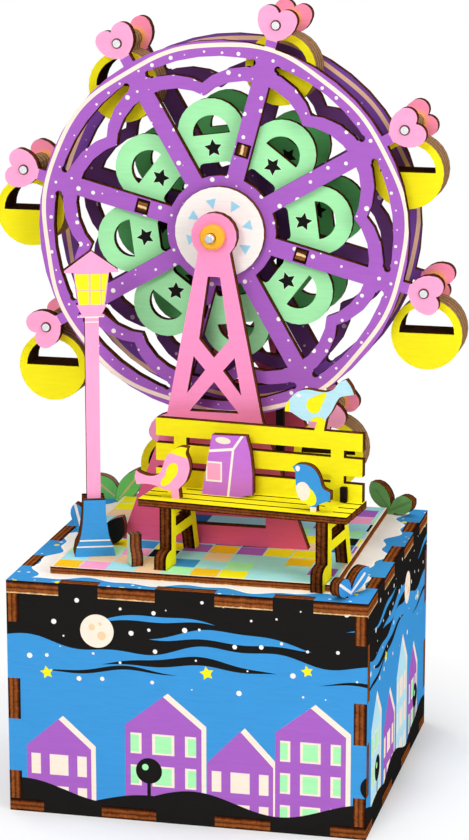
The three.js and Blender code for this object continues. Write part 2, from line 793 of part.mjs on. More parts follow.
// A gear as an outline of straight sided teeth, with one tooth at an angle
function gearShape(teeth, first) {
  const pitch = teeth * pinion_pitch_radius / pinion_teeth;
  const tip = pitch + tooth_addendum;
  const root = pitch - tooth_dedendum;
  const points = [];
  for (let i = 0; i < teeth; i += 1) {
    const middle = first + i * 2 * Math.PI / teeth;
    const corners = [
      [root, -tooth_root_width], [tip, -tooth_tip_width],
      [tip, tooth_tip_width], [root, tooth_root_width],
    ];
    for (const [radius, width] of corners) {
      const angle = middle + width / 2 / radius;
      points.push([radius * Math.cos(angle), radius * Math.sin(angle)]);
    }
  }
  return outline(points);
}

// Places of the movement, behind one another from the belt towards the front
const centre_distance = pinion_pitch_radius + gear_pitch_radius;
const cylinder_x = -Math.sqrt(centre_distance ** 2 - gear_drop ** 2);
const cylinder_z = crank_height - gear_drop;
const mesh_angle = Math.atan2(-gear_drop, cylinder_x);
const upright_back = pulley_middle - pulley_depth / 2 - side_gap;
const upright_front = upright_back - frame_upright_thickness;
const gear_back = upright_front - side_gap;
const gear_front = gear_back - gear_depth;
const cylinder_back = gear_front - side_gap;
const cylinder_front = cylinder_back - cylinder_length;
const far_upright_back = cylinder_front - side_gap;
const far_upright_front = far_upright_back - frame_upright_thickness;
const comb_tip_x = cylinder_x - cylinder_radius - cylinder_pin_height - comb_tip_gap;
const frame_left = comb_tip_x - comb_back_width - frame_pad_width / 2;
const comb_bottom = cylinder_z - comb_thickness / 2;

function makeCrank() {
  const shaft_front = gear_front - seat_gap;
  const shaft = solidOf(chamferedBar(crank_shaft_radius, shaft_front, crank_arm_back, axle_chamfer));
  const pinion = solidOf(standing(gearShape(pinion_teeth, mesh_angle), gear_depth, gear_front));
  const shaft_geometry = geometryOf(shaft.add(pinion)).translate(0, 0, crank_height);
  steel('crank_shaft', shaft_geometry);

  const pulley = pulleyGeometry(pulley_front, crank_shaft_radius + seat_gap);
  place('drive_pulley', pulley.translate(0, 0, crank_height), colours.ply);

  const arm = new THREE.Shape();
  arm.absarc(0, 0, crank_arm_width / 2, 0, Math.PI, false);
  arm.absarc(0, -crank_throw, crank_arm_width / 2, Math.PI, 2 * Math.PI, false);
  arm.closePath();
  arm.holes.push(
    new THREE.Path().absarc(0, 0, crank_shaft_radius + seat_gap, 0, 2 * Math.PI, true),
    new THREE.Path().absarc(0, -crank_throw, knob_stem_radius + seat_gap, 0, 2 * Math.PI, true));
  const arm_geometry = standing(arm, crank_arm_ply, crank_arm_front);
  place('crank_arm', arm_geometry.translate(0, 0, crank_height), colours.pink);

  const knob_front = crank_arm_back + side_gap;
  const knob_back = knob_front + knob_length;
  const knob_z = crank_height - crank_throw;
  const stem_back = knob_back - knob_stem_stop;
  const stem = chamferedBar(knob_stem_radius, crank_arm_front, stem_back, axle_chamfer);
  steel('knob_stem', stem.translate(0, 0, knob_z));

  const along = (share) => knob_front + share * knob_length;
  const knob_profile = [
    [knob_end_radius, along(0)], [knob_end_radius, along(0.1)],
    [knob_waist_radius, along(0.32)], [knob_radius, along(0.72)],
    [knob_radius, along(0.86)], [knob_end_radius, knob_back], [0, knob_back],
    [0, stem_back + side_gap], [knob_stem_radius + run_gap, stem_back + side_gap],
    [knob_stem_radius + run_gap, along(0)], [knob_end_radius, along(0)],
  ];
  place('crank_knob', turned(knob_profile).translate(0, 0, knob_z), colours.yellow);
}

function makeMovement() {
  const bore_turn = (radius) => solidOf(bar(radius + run_gap, far_upright_front - overrun,
    upright_back + overrun, cylinder_x, cylinder_z));
  const base_top = floor_top + frame_base_thickness;
  const right = frame_left + frame_base_width;
  const base = block(frame_left, right, far_upright_front, upright_back, floor_top, base_top);
  const near = block(cylinder_x - frame_upright_margin, crank_shaft_radius + frame_upright_margin,
    upright_front, upright_back, floor_top, crank_height + frame_upright_margin);
  const far = block(cylinder_x - frame_upright_margin, cylinder_x + frame_upright_margin,
    far_upright_front, far_upright_back, floor_top, cylinder_z + frame_upright_margin);
  const comb_left = comb_tip_x - comb_back_width - frame_pad_width / 2;
  const pad = block(comb_left, comb_left + frame_pad_width, cylinder_front, cylinder_back,
    floor_top, comb_bottom);
  const crank_bore = bar(crank_shaft_radius + run_gap, upright_front - overrun,
    upright_back + overrun, 0, crank_height);
  const body = union([base, near, far, pad].map(solidOf));
  const frame = body.subtract(bore_turn(arbor_radius)).subtract(solidOf(crank_bore));
  place('movement_frame', geometryOf(frame), colours.brass, { roughness: 0.35, metalness: 1 });

  const comb_root = comb_left + frame_pad_width;
  const pitch = cylinder_length / comb_teeth;
  const points = [[comb_left, cylinder_front], [comb_root, cylinder_front]];
  for (let i = 0; i < comb_teeth; i += 1) {
    const low = cylinder_front + i * pitch + comb_slit / 2;
    const high = low + pitch - comb_slit;
    points.push([comb_root, low], [comb_tip_x, low], [comb_tip_x, high], [comb_root, high]);
  }
  points.push([comb_root, cylinder_back], [comb_left, cylinder_back]);
  steel('music_comb', lying(outline(points), comb_thickness, comb_bottom));

  const barrel = solidOf(bar(cylinder_radius, cylinder_front, cylinder_back, 0, 0, round_sides));
  const arbor = solidOf(bar(arbor_radius, far_upright_front, upright_back));
  const pins = [];
  for (let i = 0; i < comb_teeth; i += 1) {
    const y = cylinder_front + (i + 0.5) * pitch;
    for (let row = i % 2; row < cylinder_rows; row += 2) {
      const pin = block(0, cylinder_radius + cylinder_pin_height,
        y - cylinder_pin_width / 2, y + cylinder_pin_width / 2,
        -cylinder_pin_width / 2, cylinder_pin_width / 2);
      pin.rotateY(i * cylinder_pin_step_turn + row * 2 * Math.PI / cylinder_rows);
      pins.push(solidOf(pin));
    }
  }
  const cylinder = geometryOf(union([barrel, arbor, ...pins]));
  place('pin_cylinder', cylinder.translate(cylinder_x, 0, cylinder_z), colours.brass,
    { roughness: 0.35, metalness: 1 });

  const gear_gap = mesh_angle + Math.PI - Math.PI / gear_teeth;
  const gear = solidOf(standing(gearShape(gear_teeth, gear_gap), gear_depth, gear_front));
  const gear_bore = solidOf(bar(arbor_radius + seat_gap, gear_front - overrun, gear_back + overrun));
  const gear_geometry = geometryOf(gear.subtract(gear_bore));
  place('cylinder_gear', gear_geometry.translate(cylinder_x, 0, cylinder_z), colours.white);
}

// A slatted board as one plate: slits stop at two battens
function slattedShape(width, height, count, gap, middle) {
  const shape = rectShape(middle - width / 2, middle + width / 2, 0, height);
  const slat = (height - (count - 1) * gap) / count;
  const battens = [-1, 1].map((side) => middle + side * batten_spread / 2);
  const holes = [];
  for (let i = 1; i < count; i += 1) {
    const low = i * slat + (i - 1) * gap;
    const edges = [
      [middle - width / 2 - overrun, battens[0] - batten_width / 2],
      [battens[0] + batten_width / 2, battens[1] - batten_width / 2],
      [battens[1] + batten_width / 2, middle + width / 2 + overrun],
    ];
    for (const [left, right] of edges) {
      holes.push(rectShape(left, right, low, low + gap));
    }
  }
  return { shape, holes };
}

function legShape() {
  const top = deck + seat_height - seat_ply;
  const bar_low = deck + leg_bar_low;
  const post_back = leg_front + leg_post_width;
  const slope = (leg_back_foot - leg_back_top) / (top - deck);
  const back_at = (z) => leg_back_foot - slope * (z - deck);
  const inner_at = (z) => back_at(z) - leg_post_width;
  const shape = new THREE.Shape();
  shape.moveTo(foot_front, lid_top);
  shape.lineTo(foot_back, lid_top);
  shape.lineTo(foot_back, bar_low);
  shape.lineTo(inner_at(bar_low), bar_low);
  shape.lineTo(inner_at(deck), deck);
  shape.lineTo(back_at(deck), deck);
  shape.lineTo(back_at(top), top);
  shape.lineTo(leg_front, top);
  shape.lineTo(leg_front, deck + leg_foot_height);
  shape.quadraticCurveTo(foot_front, deck + leg_foot_height, foot_front, deck + leg_foot_height / 2);
  shape.closePath();
  const low = bar_low + leg_bar_height;
  const high = top - leg_top_height;
  shape.holes.push(outline([
    [post_back, low], [inner_at(low), low], [inner_at(high), high], [post_back, high],
  ]));
  return shape;
}

// Outlines of the birds, as shares of their length and height. Each is a list of smooth
// runs with a corner between them, clockwise from the first corner.
const pink_bird_shares = [
  [[0.03, 0.49]],
  [[0.09, 0.44], [0.22, 0.4], [0.33, 0.4], [0.44, 0.45], [0.5, 0.56], [0.56, 0.75],
    [0.64, 0.87], [0.73, 0.95], [0.84, 1], [0.96, 0.99]],
  [[0.93, 0.88], [0.98, 0.75], [1, 0.6], [0.97, 0.46], [0.92, 0.33], [0.8, 0.19]],
  [[0.82, 0]], [[0.68, 0]], [[0.66, 0.15]],
  [[0.51, 0.17], [0.38, 0.22], [0.2, 0.24], [0.04, 0.21]],
  [[0, 0.35]],
];
const blue_bird_shares = [
  [[0, 0.93]],
  [[0.09, 0.98], [0.2, 1], [0.36, 1], [0.52, 0.95], [0.65, 0.84], [0.73, 0.7], [0.78, 0.56],
    [0.86, 0.49], [1, 0.45]],
  [[1, 0.26]],
  [[0.79, 0.2], [0.64, 0.13]],
  [[0.64, 0]], [[0.48, 0]], [[0.46, 0.12]],
  [[0.28, 0.19], [0.15, 0.31], [0.1, 0.46], [0.08, 0.65], [0.08, 0.83]],
];
const pale_bird_shares = [
  [[0, 0.32]],
  [[0.02, 0.44], [0.08, 0.57], [0.17, 0.69], [0.27, 0.75], [0.37, 0.76], [0.48, 0.74],
    [0.6, 0.74], [0.7, 0.8], [0.78, 0.93], [0.88, 1]],
  [[0.95, 0.88], [1, 0.73]],
  [[0.9, 0.7], [0.8, 0.66], [0.74, 0.55], [0.68, 0.38], [0.6, 0.23]],
  [[0.57, 0]], [[0.43, 0]], [[0.47, 0.16]],
  [[0.4, 0.16], [0.3, 0.17], [0.21, 0.22], [0.1, 0.31]],
];

function birdGeometry(runs, length, height) {
  const at = ([x, y]) => new THREE.Vector2(x * length, y * height);
  const [start, ...others] = runs.map((run) => run.map(at));
  const shape = new THREE.Shape();
  shape.moveTo(start[0].x, start[0].y);
  for (const run of others) {
    if (run.length === 1) {
      shape.lineTo(run[0].x, run[0].y);
    } else {
      shape.splineThru(run);
    }
  }
  shape.closePath();
  return standing(shape, figure_ply, 0, bird_steps);
}

function makeBench() {
  const bench = new THREE.Group();
  bench.position.set(bench_x, bench_y, 0);
  bench.rotation.z = bench_turn;
  part.add(bench);
  const put = (name, geometry, colour) => place(name, geometry, colour, { group: bench });

  const seat_top = deck + seat_height;
  const seat = slattedShape(seat_width, seat_depth, seat_slats, seat_slit, seat_shift);
  const seat_bottom = seat_top - seat_ply;
  const seat_cuts = seat.holes.map((hole) => solidOf(
    lying(hole, seat_ply + 2 * overrun, seat_bottom - overrun)));
  const seat_solid = solidOf(lying(seat.shape, seat_ply, seat_bottom)).subtract(union(seat_cuts));
  put('bench_seat', geometryOf(seat_solid).translate(0, seat_front, 0), colours.yellow);

  const back_front = seat_front + seat_depth - back_set_in - back_ply;
  const back = slattedShape(back_width, back_height, back_slats, back_gap, back_shift);
  const back_cuts = back.holes.map((hole) => solidOf(
    standing(hole, back_ply + 2 * overrun, back_front - overrun)));
  const board = solidOf(standing(back.shape, back_ply, back_front)).subtract(union(back_cuts));
  put('bench_back', geometryOf(board).translate(0, 0, seat_top), colours.yellow);

  put('bench_leg_left', sideways(legShape(), leg_ply, leg_lefts[0]), colours.yellow);
  put('bench_leg_right', sideways(legShape(), leg_ply, leg_lefts[1]), colours.yellow);

  const pink = birdGeometry(pink_bird_shares, pink_bird_length, pink_bird_height);
  put('pink_bird', pink.translate(pink_bird_place, pink_bird_front, seat_top), colours.pink);
  const blue = birdGeometry(blue_bird_shares, blue_bird_length, blue_bird_height);
  put('blue_bird', blue.translate(blue_bird_place, blue_bird_front, seat_top), colours.blue);
  const pale = birdGeometry(pale_bird_shares, pale_bird_length, pale_bird_height);
  put('pale_blue_bird', pale.translate(pale_bird_place, back_front, seat_top + back_height),
    colours.pale);

  const bag_outline_shares = [
    [0, 0], [0.74, 0], [1, 0.06], [1, 0.4], [0.95, 0.75], [0.87, 1], [0.2, 0.98],
  ];
  const bag = outline(bag_outline_shares.map(([x, y]) => [x * bag_width, y * bag_height]));
  const bag_geometry = standing(bag, figure_ply, bag_side);
  put('school_bag', bag_geometry.translate(bag_back - bag_width * 1.5, 0, seat_top), colours.bag);
}

function makeLamp() {
  const lamp = new THREE.Group();
  lamp.position.set(lamp_x, lamp_y, 0);
  lamp.rotation.z = lamp_turn;
  part.add(lamp);
  const socket = deck + lamp_foot_socket;
  const rise = (height) => deck + height;
  const levels = [];
  let z = rise(lamp_post_top);
  levels.push([lamp_post_width / 2, socket], [lamp_post_width / 2, z]);
  levels.push([lamp_ring_width / 2, z], [lamp_ring_width / 2, z + lamp_ring_height]);
  z += lamp_ring_height;
  levels.push([lamp_collar_low_width / 2, z]);
  z += lamp_collar_height;
  levels.push([lamp_collar_width / 2, z], [lamp_lantern_low_width / 2, z]);
  z += lamp_lantern_height;
  levels.push([lamp_lantern_width / 2, z], [lamp_roof_width / 2, z]);
  z += lamp_eave_height;
  levels.push([lamp_roof_width / 2, z]);
  const apex = [0, z + lamp_roof_height];
  const shape = outline([...levels, apex, ...levels.map(([x, y]) => [-x, y]).reverse()]);
  const lamp_front = -lamp_ply / 2;
  place('street_lamp', standing(shape, lamp_ply, lamp_front), colours.pink, { group: lamp });

  const [foot, step, top] = [lamp_base_foot_width, lamp_base_step_width, lamp_base_top_width]
    .map((width) => width / 2);
  const waist = [top, lamp_base_step_height * 2];
  const base = new THREE.Shape();
  base.moveTo(-lamp_base_width / 2, 0);
  base.lineTo(lamp_base_width / 2, 0);
  base.lineTo(foot, lamp_base_foot_height);
  base.lineTo(step, lamp_base_step_height);
  base.quadraticCurveTo(waist[0], waist[1], top, lamp_base_height);
  base.lineTo(-top, lamp_base_height);
  base.quadraticCurveTo(-waist[0], waist[1], -step, lamp_base_step_height);
  base.lineTo(-foot, lamp_base_foot_height);
  base.closePath();
  const body = solidOf(standing(base, lamp_base_depth, -lamp_base_depth / 2, corner_steps));
  const reach = lamp_post_width / 2 + slot_gap;
  const hole = solidOf(block(-reach, reach, lamp_front - slot_gap, lamp_front + lamp_ply + slot_gap,
    lamp_foot_socket, lamp_base_height + overrun));
  const geometry = geometryOf(body.subtract(hole));
  place('lamp_base', geometry.translate(0, 0, deck), colours.blue, { group: lamp });
}

// A sprig of flat leaves from one foot. Each leaf has its lean, length and width.
const leaf_fullness = 1.5;
const leaf_bulge_shares = [0.3, 0.85];
const sprig_stem_width = 2.6;
const sprig_stem_height = 2.4;
const sprig_right = { x: 41.0, y: 30.1, turn: -18, leaves: [[-40, 10.0, 5.7], [62, 8.0, 5.4]] };
const sprig_left = { x: -41, y: -8.8, turn: 0, leaves: [[-14, 7.4, 4.2], [44, 7, 4]] };
const sprig_front = { x: 43.6, y: -54.1, turn: 64, leaves: [[-56, 6.2, 5.0], [56, 9.6, 4.2]] };

function sprigGeometry(leaves, stem_width, stem_height) {
  const solids = leaves.map(([lean, length, width]) => {
    const leaf = new THREE.Shape();
    const bulge = width / leaf_fullness;
    const [low, high] = leaf_bulge_shares.map((share) => share * length);
    leaf.moveTo(0, 0);
    leaf.bezierCurveTo(bulge, low, bulge, high, 0, length);
    leaf.bezierCurveTo(-bulge, high, -bulge, low, 0, 0);
    const geometry = standing(leaf, sprig_ply, -sprig_ply / 2, leaf_steps);
    geometry.rotateY(THREE.MathUtils.degToRad(lean));
    return solidOf(geometry.translate(0, 0, stem_height / 2));
  });
  const stem = solidOf(block(-stem_width / 2, stem_width / 2, -sprig_ply / 2, sprig_ply / 2,
    0, stem_height));
  return geometryOf(union([stem, ...solids]));
}

function makeSprigs() {
  const sprigs = [
    ['leaf_sprig_right', sprig_right, colours.leaf],
    ['leaf_sprig_left', sprig_left, colours.blue],
    ['leaf_sprig_front', sprig_front, colours.blue],
  ];
  for (const [name, sprig, colour] of sprigs) {
    const mesh = place(name, sprigGeometry(sprig.leaves, sprig_stem_width, sprig_stem_height), colour);
    mesh.position.set(sprig.x, sprig.y, lid_top);
    mesh.rotation.z = THREE.MathUtils.degToRad(sprig.turn);
  }
}

makeBox();
makeTowers();
makeWheel();
makeGondolas();
makeBelt();
makeCrank();
makeMovement();
makeBench();
makeLamp();
makeSprigs();

export default part;
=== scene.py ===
import math

import bmesh
import bpy
from mathutils import Matrix, Vector

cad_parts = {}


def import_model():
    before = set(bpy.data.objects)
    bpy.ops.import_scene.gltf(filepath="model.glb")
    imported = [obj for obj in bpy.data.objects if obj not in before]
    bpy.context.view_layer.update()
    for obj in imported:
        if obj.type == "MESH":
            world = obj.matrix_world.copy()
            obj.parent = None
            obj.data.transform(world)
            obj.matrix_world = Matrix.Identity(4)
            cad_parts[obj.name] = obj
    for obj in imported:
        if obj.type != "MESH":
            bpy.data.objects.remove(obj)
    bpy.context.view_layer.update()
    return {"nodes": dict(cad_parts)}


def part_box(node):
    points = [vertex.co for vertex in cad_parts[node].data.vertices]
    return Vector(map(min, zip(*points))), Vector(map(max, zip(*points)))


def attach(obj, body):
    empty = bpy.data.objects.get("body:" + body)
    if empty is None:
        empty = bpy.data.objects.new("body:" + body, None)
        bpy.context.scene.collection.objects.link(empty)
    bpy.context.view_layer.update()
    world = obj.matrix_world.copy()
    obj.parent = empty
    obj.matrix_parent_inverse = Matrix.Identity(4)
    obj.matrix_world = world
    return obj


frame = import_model()
nodes = frame["nodes"]

MM = 0.001

# Places that the looks share with the model, in millimetres and radians
BAYS = 8
BAY = 2 * math.pi / BAYS
WHEEL_TURN = math.radians(30)
PIN_CIRCLE = 57.8
BENCH_AT = (14.7, -40.3)
BENCH_TURN = math.radians(-6.3)
LAMP_AT = (-29.9, -36.0)
LAMP_TURN = math.radians(20)

# Radii of the print on the wheel, in millimetres
HUB_EDGE = 14.4
STAR_CIRCLE = 22.3
SPOTS_END = 46.0
RIM_START = 46.5
DOT_CIRCLE = 48.4
LINE_CIRCLE = 50.4
HEARTS_START = 53.5


def span(node, direction):
    """How far a node reaches along a direction, in millimetres."""
    way = Vector(direction)
    reach = [v.co.dot(way) / MM for v in nodes[node].data.vertices]
    return min(reach), max(reach)


def low(node, axis):
    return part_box(node)[0][axis] / MM


def high(node, axis):
    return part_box(node)[1][axis] / MM


def middle(node, axis):
    return (low(node, axis) + high(node, axis)) / 2


def turned(angle):
    """The X and Y directions of something that is turned about Z."""
    return (math.cos(angle), math.sin(angle), 0), (-math.sin(angle), math.cos(angle), 0)


def ahead(direction, at):
    """How far a place, given by its X and Y, lies along a level direction."""
    return Vector((*at, 0)).dot(Vector(direction))


AXLE_Z = middle("wheel_axle", 2)
DECK = high("platform", 2)
LID = high("top_plate", 2)
SEAT = high("bench_seat", 2)
BENCH_X, BENCH_Y = turned(BENCH_TURN)
LAMP_X, LAMP_Y = turned(LAMP_TURN)
PLATE_X = (1, 0, 0)
PLATE_Y = (0, 1, 0)
PLATE_Z = (0, 0, 1)

# Wood: the stretch of its noise for fibres along X or Z, their depth in millimetres, and how
# much rougher its burnt edges are than its print
GRAIN_X = (0.12, 1, 1)
GRAIN_Z = (1, 1, 0.12)
FIBRE_BUMP = 0.06
EDGE_ROUGHER = 0.3


def rgb(red, green, blue):
    """A colour as it looks on a screen, made linear for a shader."""
    def linear(value):
        value /= 255
        return value / 12.92 if value <= 0.04045 else ((value + 0.055) / 1.055) ** 2.4
    return linear(red), linear(green), linear(blue), 1


INK = {
    "purple": rgb(168, 99, 193),
    # Painted shade: darker purples and dots for the rear ring, and for the petals round the hub
    "shade_purple": rgb(98, 57, 111),
    "shaded_rear_purple": rgb(122, 72, 160),
    "shaded_rear_dot": rgb(184, 146, 176),
    "mint": rgb(170, 242, 178),
    "pale_mint": rgb(204, 250, 204),
    "post": rgb(206, 226, 186),
    "green": rgb(102, 186, 110),
    "leaf": rgb(110, 198, 104),
    "sprig": rgb(134, 200, 118),
    "dark_sprig": rgb(106, 164, 96),
    "leaf_vein": rgb(206, 188, 128),
    "pink": rgb(252, 166, 206),
    "tower_top": rgb(252, 150, 198),
    "tower_middle": rgb(232, 118, 158),
    "tower_low": rgb(236, 98, 142),
    # Painted shade: the rear tower's pinks, darker than the front tower's as it stands in shadow
    "shaded_rear_tower_top": rgb(230, 100, 142),
    "shaded_rear_tower_low": rgb(230, 91, 122),
    "red_pink": rgb(254, 148, 180),
    "yellow": rgb(250, 237, 34),
    "pane": rgb(252, 244, 40),
    "pane_bar": rgb(250, 196, 158),
    "blue": rgb(64, 150, 214),
    "dark_blue": rgb(50, 104, 168),
    "pale_blue": rgb(186, 228, 241),
    "hub_blue": rgb(158, 214, 236),
    "teal": rgb(168, 229, 238),
    "peach": rgb(246, 208, 164),
    "orange": rgb(250, 176, 44),
    "gold": rgb(246, 196, 36),
    "black": rgb(30, 29, 28),
    "cream": rgb(252, 232, 214),
    # Painted shade: the rear ring's cream line, darkened
    "shaded_cream": rgb(232, 190, 158),
    "white": rgb(246, 240, 234),
    "lid": rgb(250, 244, 236),
    "foam": rgb(255, 253, 248),
    "bag": rgb(200, 118, 218),
    "wood": rgb(214, 176, 124),
    "char": rgb(40, 21, 12),
    # Charred wood, painted darker still as shade inside the gondola windows
    "shaded_window_edge": rgb(74, 44, 28),
    "steel": rgb(205, 208, 212),
    "pin": rgb(232, 232, 234),
    # Painted shade: the rim of each pin head, and the gap round each pin with its burnt edge
    "pin_edge_shade": rgb(112, 88, 92),
    "pin_gap_shade": rgb(138, 78, 84),
    "brass": rgb(206, 172, 92),
    "rubber": rgb(34, 33, 32),
    "plastic": rgb(238, 234, 226),
}

# Colours through the thickness of a cut sheet, from one face to the other
EDGE_PLIES = [
    (0.00, rgb(44, 20, 11)), (0.10, rgb(72, 34, 16)), (0.20, rgb(150, 83, 39)),
    (0.34, rgb(140, 76, 35)), (0.42, rgb(76, 37, 17)), (0.50, rgb(116, 60, 27)),
    (0.66, rgb(146, 80, 37)), (0.78, rgb(86, 42, 19)), (0.88, rgb(48, 22, 12)),
    (1.00, rgb(30, 14, 9)),
]
# Painted highlight: a pale line along one face of an edge, then the char
EDGE_HIGHLIGHT_PLIES = [(0.00, rgb(236, 200, 146)), (0.08, rgb(200, 152, 98)), (0.15, rgb(74, 40, 20))]
# The bright ply in the middle is painted brighter still, as a highlight
SPACER_PLIES = [
    (0.00, rgb(30, 15, 9)), (0.15, rgb(44, 23, 13)), (0.22, rgb(142, 92, 50)),
    (0.42, rgb(116, 70, 36)), (0.48, rgb(240, 206, 156)), (0.62, rgb(232, 192, 138)),
    (0.68, rgb(92, 54, 28)), (1.00, rgb(24, 12, 7)),
]
GONDOLA_PLIES = [
    (0.00, rgb(58, 32, 18)), (0.12, rgb(150, 112, 78)), (0.45, rgb(178, 142, 104)),
    (0.55, rgb(98, 62, 36)), (0.90, rgb(158, 120, 84)), (1.00, rgb(52, 28, 15)),
]

# Sockets of the Mix node that hold its factor, its two colours and its result
MIX_FACTOR, MIX_BASE, MIX_TOP, MIX_RESULT = 0, 6, 7, 2


class Field:
    """A number that varies over a surface: the output of a shader node."""

    def __init__(self, tree, socket):
        self.tree = tree
        self.socket = socket

    def use(self, operation, *others, clamp=False):
        node = self.tree.nodes.new("ShaderNodeMath")
        node.operation = operation
        node.use_clamp = clamp
        for value, socket in zip((self, *others), node.inputs):
            if isinstance(value, Field):
                self.tree.links.new(value.socket, socket)
            else:
                socket.default_value = value
        return Field(self.tree, node.outputs[0])

    def __add__(self, other):
        return self.use("ADD", other)

    def __sub__(self, other):
        return self.use("SUBTRACT", other)

    def __mul__(self, other):
        return self.use("MULTIPLY", other)

    def __truediv__(self, other):
        return self.use("DIVIDE", other)

    def __lt__(self, other):
        return self.use("LESS_THAN", other)

    def __gt__(self, other):
        return self.use("GREATER_THAN", other)

    def __and__(self, other):
        return self.use("MINIMUM", other)

    def __or__(self, other):
        return self.use("MAXIMUM", other)

    def __invert__(self):
        return self * -1 + 1

    def __abs__(self):
        return self.use("ABSOLUTE")

    def sin(self):
        return self.use("SINE")

    def cos(self):
        return self.use("COSINE")

    def floor(self):
        return self.use("FLOOR")

    def clamped(self):
        """The same number, held between 0 and 1."""
        return self.use("ADD", 0.0, clamp=True)

    def wrap(self, size):
        """The remainder within one repeat, from minus half of it to plus half."""
        return self.use("WRAP", size / 2, -size / 2)

    def length(self, other):
        return (self * self + other * other).use("SQRT")

    def angle(self, other):
        return self.use("ARCTAN2", other)

    def between(self, start, end):
        return (self > start) & (self < end)

    def near(self, place, reach):
        return abs(self - place) < reach


class Paint:
    """A material, with the place and facing of each point of the surface as fields."""

    def __init__(self, name, roughness, metallic=0.0, specular=0.1, coat=0.0):
        self.material = bpy.data.materials.new(name)
        self.material.use_nodes = True
        self.tree = self.material.node_tree
        self.shader = self.tree.nodes["Principled BSDF"]
        self.shader.inputs["Roughness"].default_value = roughness
        self.shader.inputs["Metallic"].default_value = metallic
        self.shader.inputs["Specular IOR Level"].default_value = specular
        self.shader.inputs["Coat Weight"].default_value = coat
        place = self.tree.nodes.new("ShaderNodeTexCoord")
        scale = self.tree.nodes.new("ShaderNodeVectorMath")
        scale.operation = "SCALE"
        scale.inputs["Scale"].default_value = 1 / MM
        self.tree.links.new(place.outputs["Object"], scale.inputs[0])
        self.point = scale.outputs[0]
        self.facing = place.outputs["Normal"]
        self.x, self.y, self.z = self.split(self.point)

    def split(self, vector):
        node = self.tree.nodes.new("ShaderNodeSeparateXYZ")
        self.tree.links.new(vector, node.inputs[0])
        return [Field(self.tree, socket) for socket in node.outputs]

    def dot(self, vector, direction):
        node = self.tree.nodes.new("ShaderNodeVectorMath")
        node.operation = "DOT_PRODUCT"
        self.tree.links.new(vector, node.inputs[0])
        node.inputs[1].default_value = direction
        return Field(self.tree, node.outputs["Value"])

    def along(self, direction):
        return self.dot(self.point, direction)

    def faces(self, direction):
        """1 on the surfaces that lie nearly square to a direction, and 0 on the rest."""
        nearly_square = 0.8
        return abs(self.dot(self.facing, direction)) > nearly_square

    def joined(self, u, v, w=0.0):
        node = self.tree.nodes.new("ShaderNodeCombineXYZ")
        for value, socket in zip((u, v, w), node.inputs):
            if isinstance(value, Field):
                self.tree.links.new(value.socket, socket)
            else:
                socket.default_value = value
        return node.outputs[0]

    def noise(self, size, stretch=(1, 1, 1), detail=2.0):
        """Cloudy noise round 0.5, with features of a size in millimetres."""
        scale = self.tree.nodes.new("ShaderNodeVectorMath")
        scale.operation = "MULTIPLY"
        self.tree.links.new(self.point, scale.inputs[0])
        scale.inputs[1].default_value = [s / size for s in stretch]
        node = self.tree.nodes.new("ShaderNodeTexNoise")
        node.inputs["Scale"].default_value = 1
        node.inputs["Detail"].default_value = detail
        self.tree.links.new(scale.outputs[0], node.inputs["Vector"])
        return Field(self.tree, node.outputs[0])

    def sway(self, amount, size, stretch=(1, 1, 1), detail=2.0):
        """Noise round 0, with a size in millimetres."""
        return (self.noise(size, stretch, detail) - 0.5) * amount

    def dots(self, u, v, pitch, least, most, keep, floor=None):
        """Round dots scattered about a pitch apart, of mixed sizes, with v above a floor."""
        node = self.tree.nodes.new("ShaderNodeTexVoronoi")
        node.voronoi_dimensions = "2D"
        node.inputs["Scale"].default_value = 1
        node.inputs["Randomness"].default_value = 0.85
        self.tree.links.new(self.joined(u / pitch, v / pitch), node.inputs["Vector"])
        distance = Field(self.tree, node.outputs["Distance"]) * pitch
        share, chance, _ = self.split(node.outputs["Color"])
        radius = share * (most - least) + least
        shown = (distance < radius) & (chance < keep)
        if floor is None:
            return shown
        _, row, _ = self.split(node.outputs["Position"])
        return shown & (row * pitch > floor)

    def chance(self, u, v):
        """One even random number for each whole number of u and v."""
        node = self.tree.nodes.new("ShaderNodeTexWhiteNoise")
        node.noise_dimensions = "2D"
        self.tree.links.new(self.joined(u, v), node.inputs["Vector"])
        return Field(self.tree, node.outputs["Value"])

    def mix(self, share, base, top, blend="MIX"):
        """base where share is 0 and top where it is 1. Both are colours."""
        node = self.tree.nodes.new("ShaderNodeMix")
        node.data_type = "RGBA"
        node.blend_type = blend
        for value, place in ((share, MIX_FACTOR), (base, MIX_BASE), (top, MIX_TOP)):
            if isinstance(value, Field):
                self.tree.links.new(value.socket, node.inputs[place])
            else:
                node.inputs[place].default_value = value
        return Field(self.tree, node.outputs[MIX_RESULT])

    def ramp(self, share, stops, steps=False):
        node = self.tree.nodes.new("ShaderNodeValToRGB")
        band = node.color_ramp
        band.interpolation = "CONSTANT" if steps else "LINEAR"
        while len(band.elements) < len(stops):
            band.elements.new(0.5)
        for element, (place, colour) in zip(band.elements, stops):
            element.position = place
            element.color = colour
        self.tree.links.new(share.socket, node.inputs[0])
        return Field(self.tree, node.outputs[0])

    def shaded(self, colour, amount):
        """A colour made lighter or darker by a field round 1."""
        grey = self.joined(amount, amount, amount)
        return self.mix(1.0, colour, Field(self.tree, grey), "MULTIPLY")

    def varied(self, colour, noise, amount):
        """A colour made a little lighter and darker by noise round 0.5."""
        return self.shaded(colour, (noise - 0.5) * amount + 1)

    def bump(self, height, depth):
        """Relief from a field between 0 and 1, with its depth in millimetres."""
        node = self.tree.nodes.new("ShaderNodeBump")
        node.inputs["Strength"].default_value = 1
        node.inputs["Distance"].default_value = depth * MM
        self.tree.links.new(height.socket, node.inputs["Height"])
        self.tree.links.new(node.outputs[0], self.shader.inputs["Normal"])

    def done(self, colour, roughness=None):
        self.tree.links.new(colour.socket, self.shader.inputs["Base Color"])
        if roughness is not None:
            self.tree.links.new(roughness.socket, self.shader.inputs["Roughness"])
        return self.material


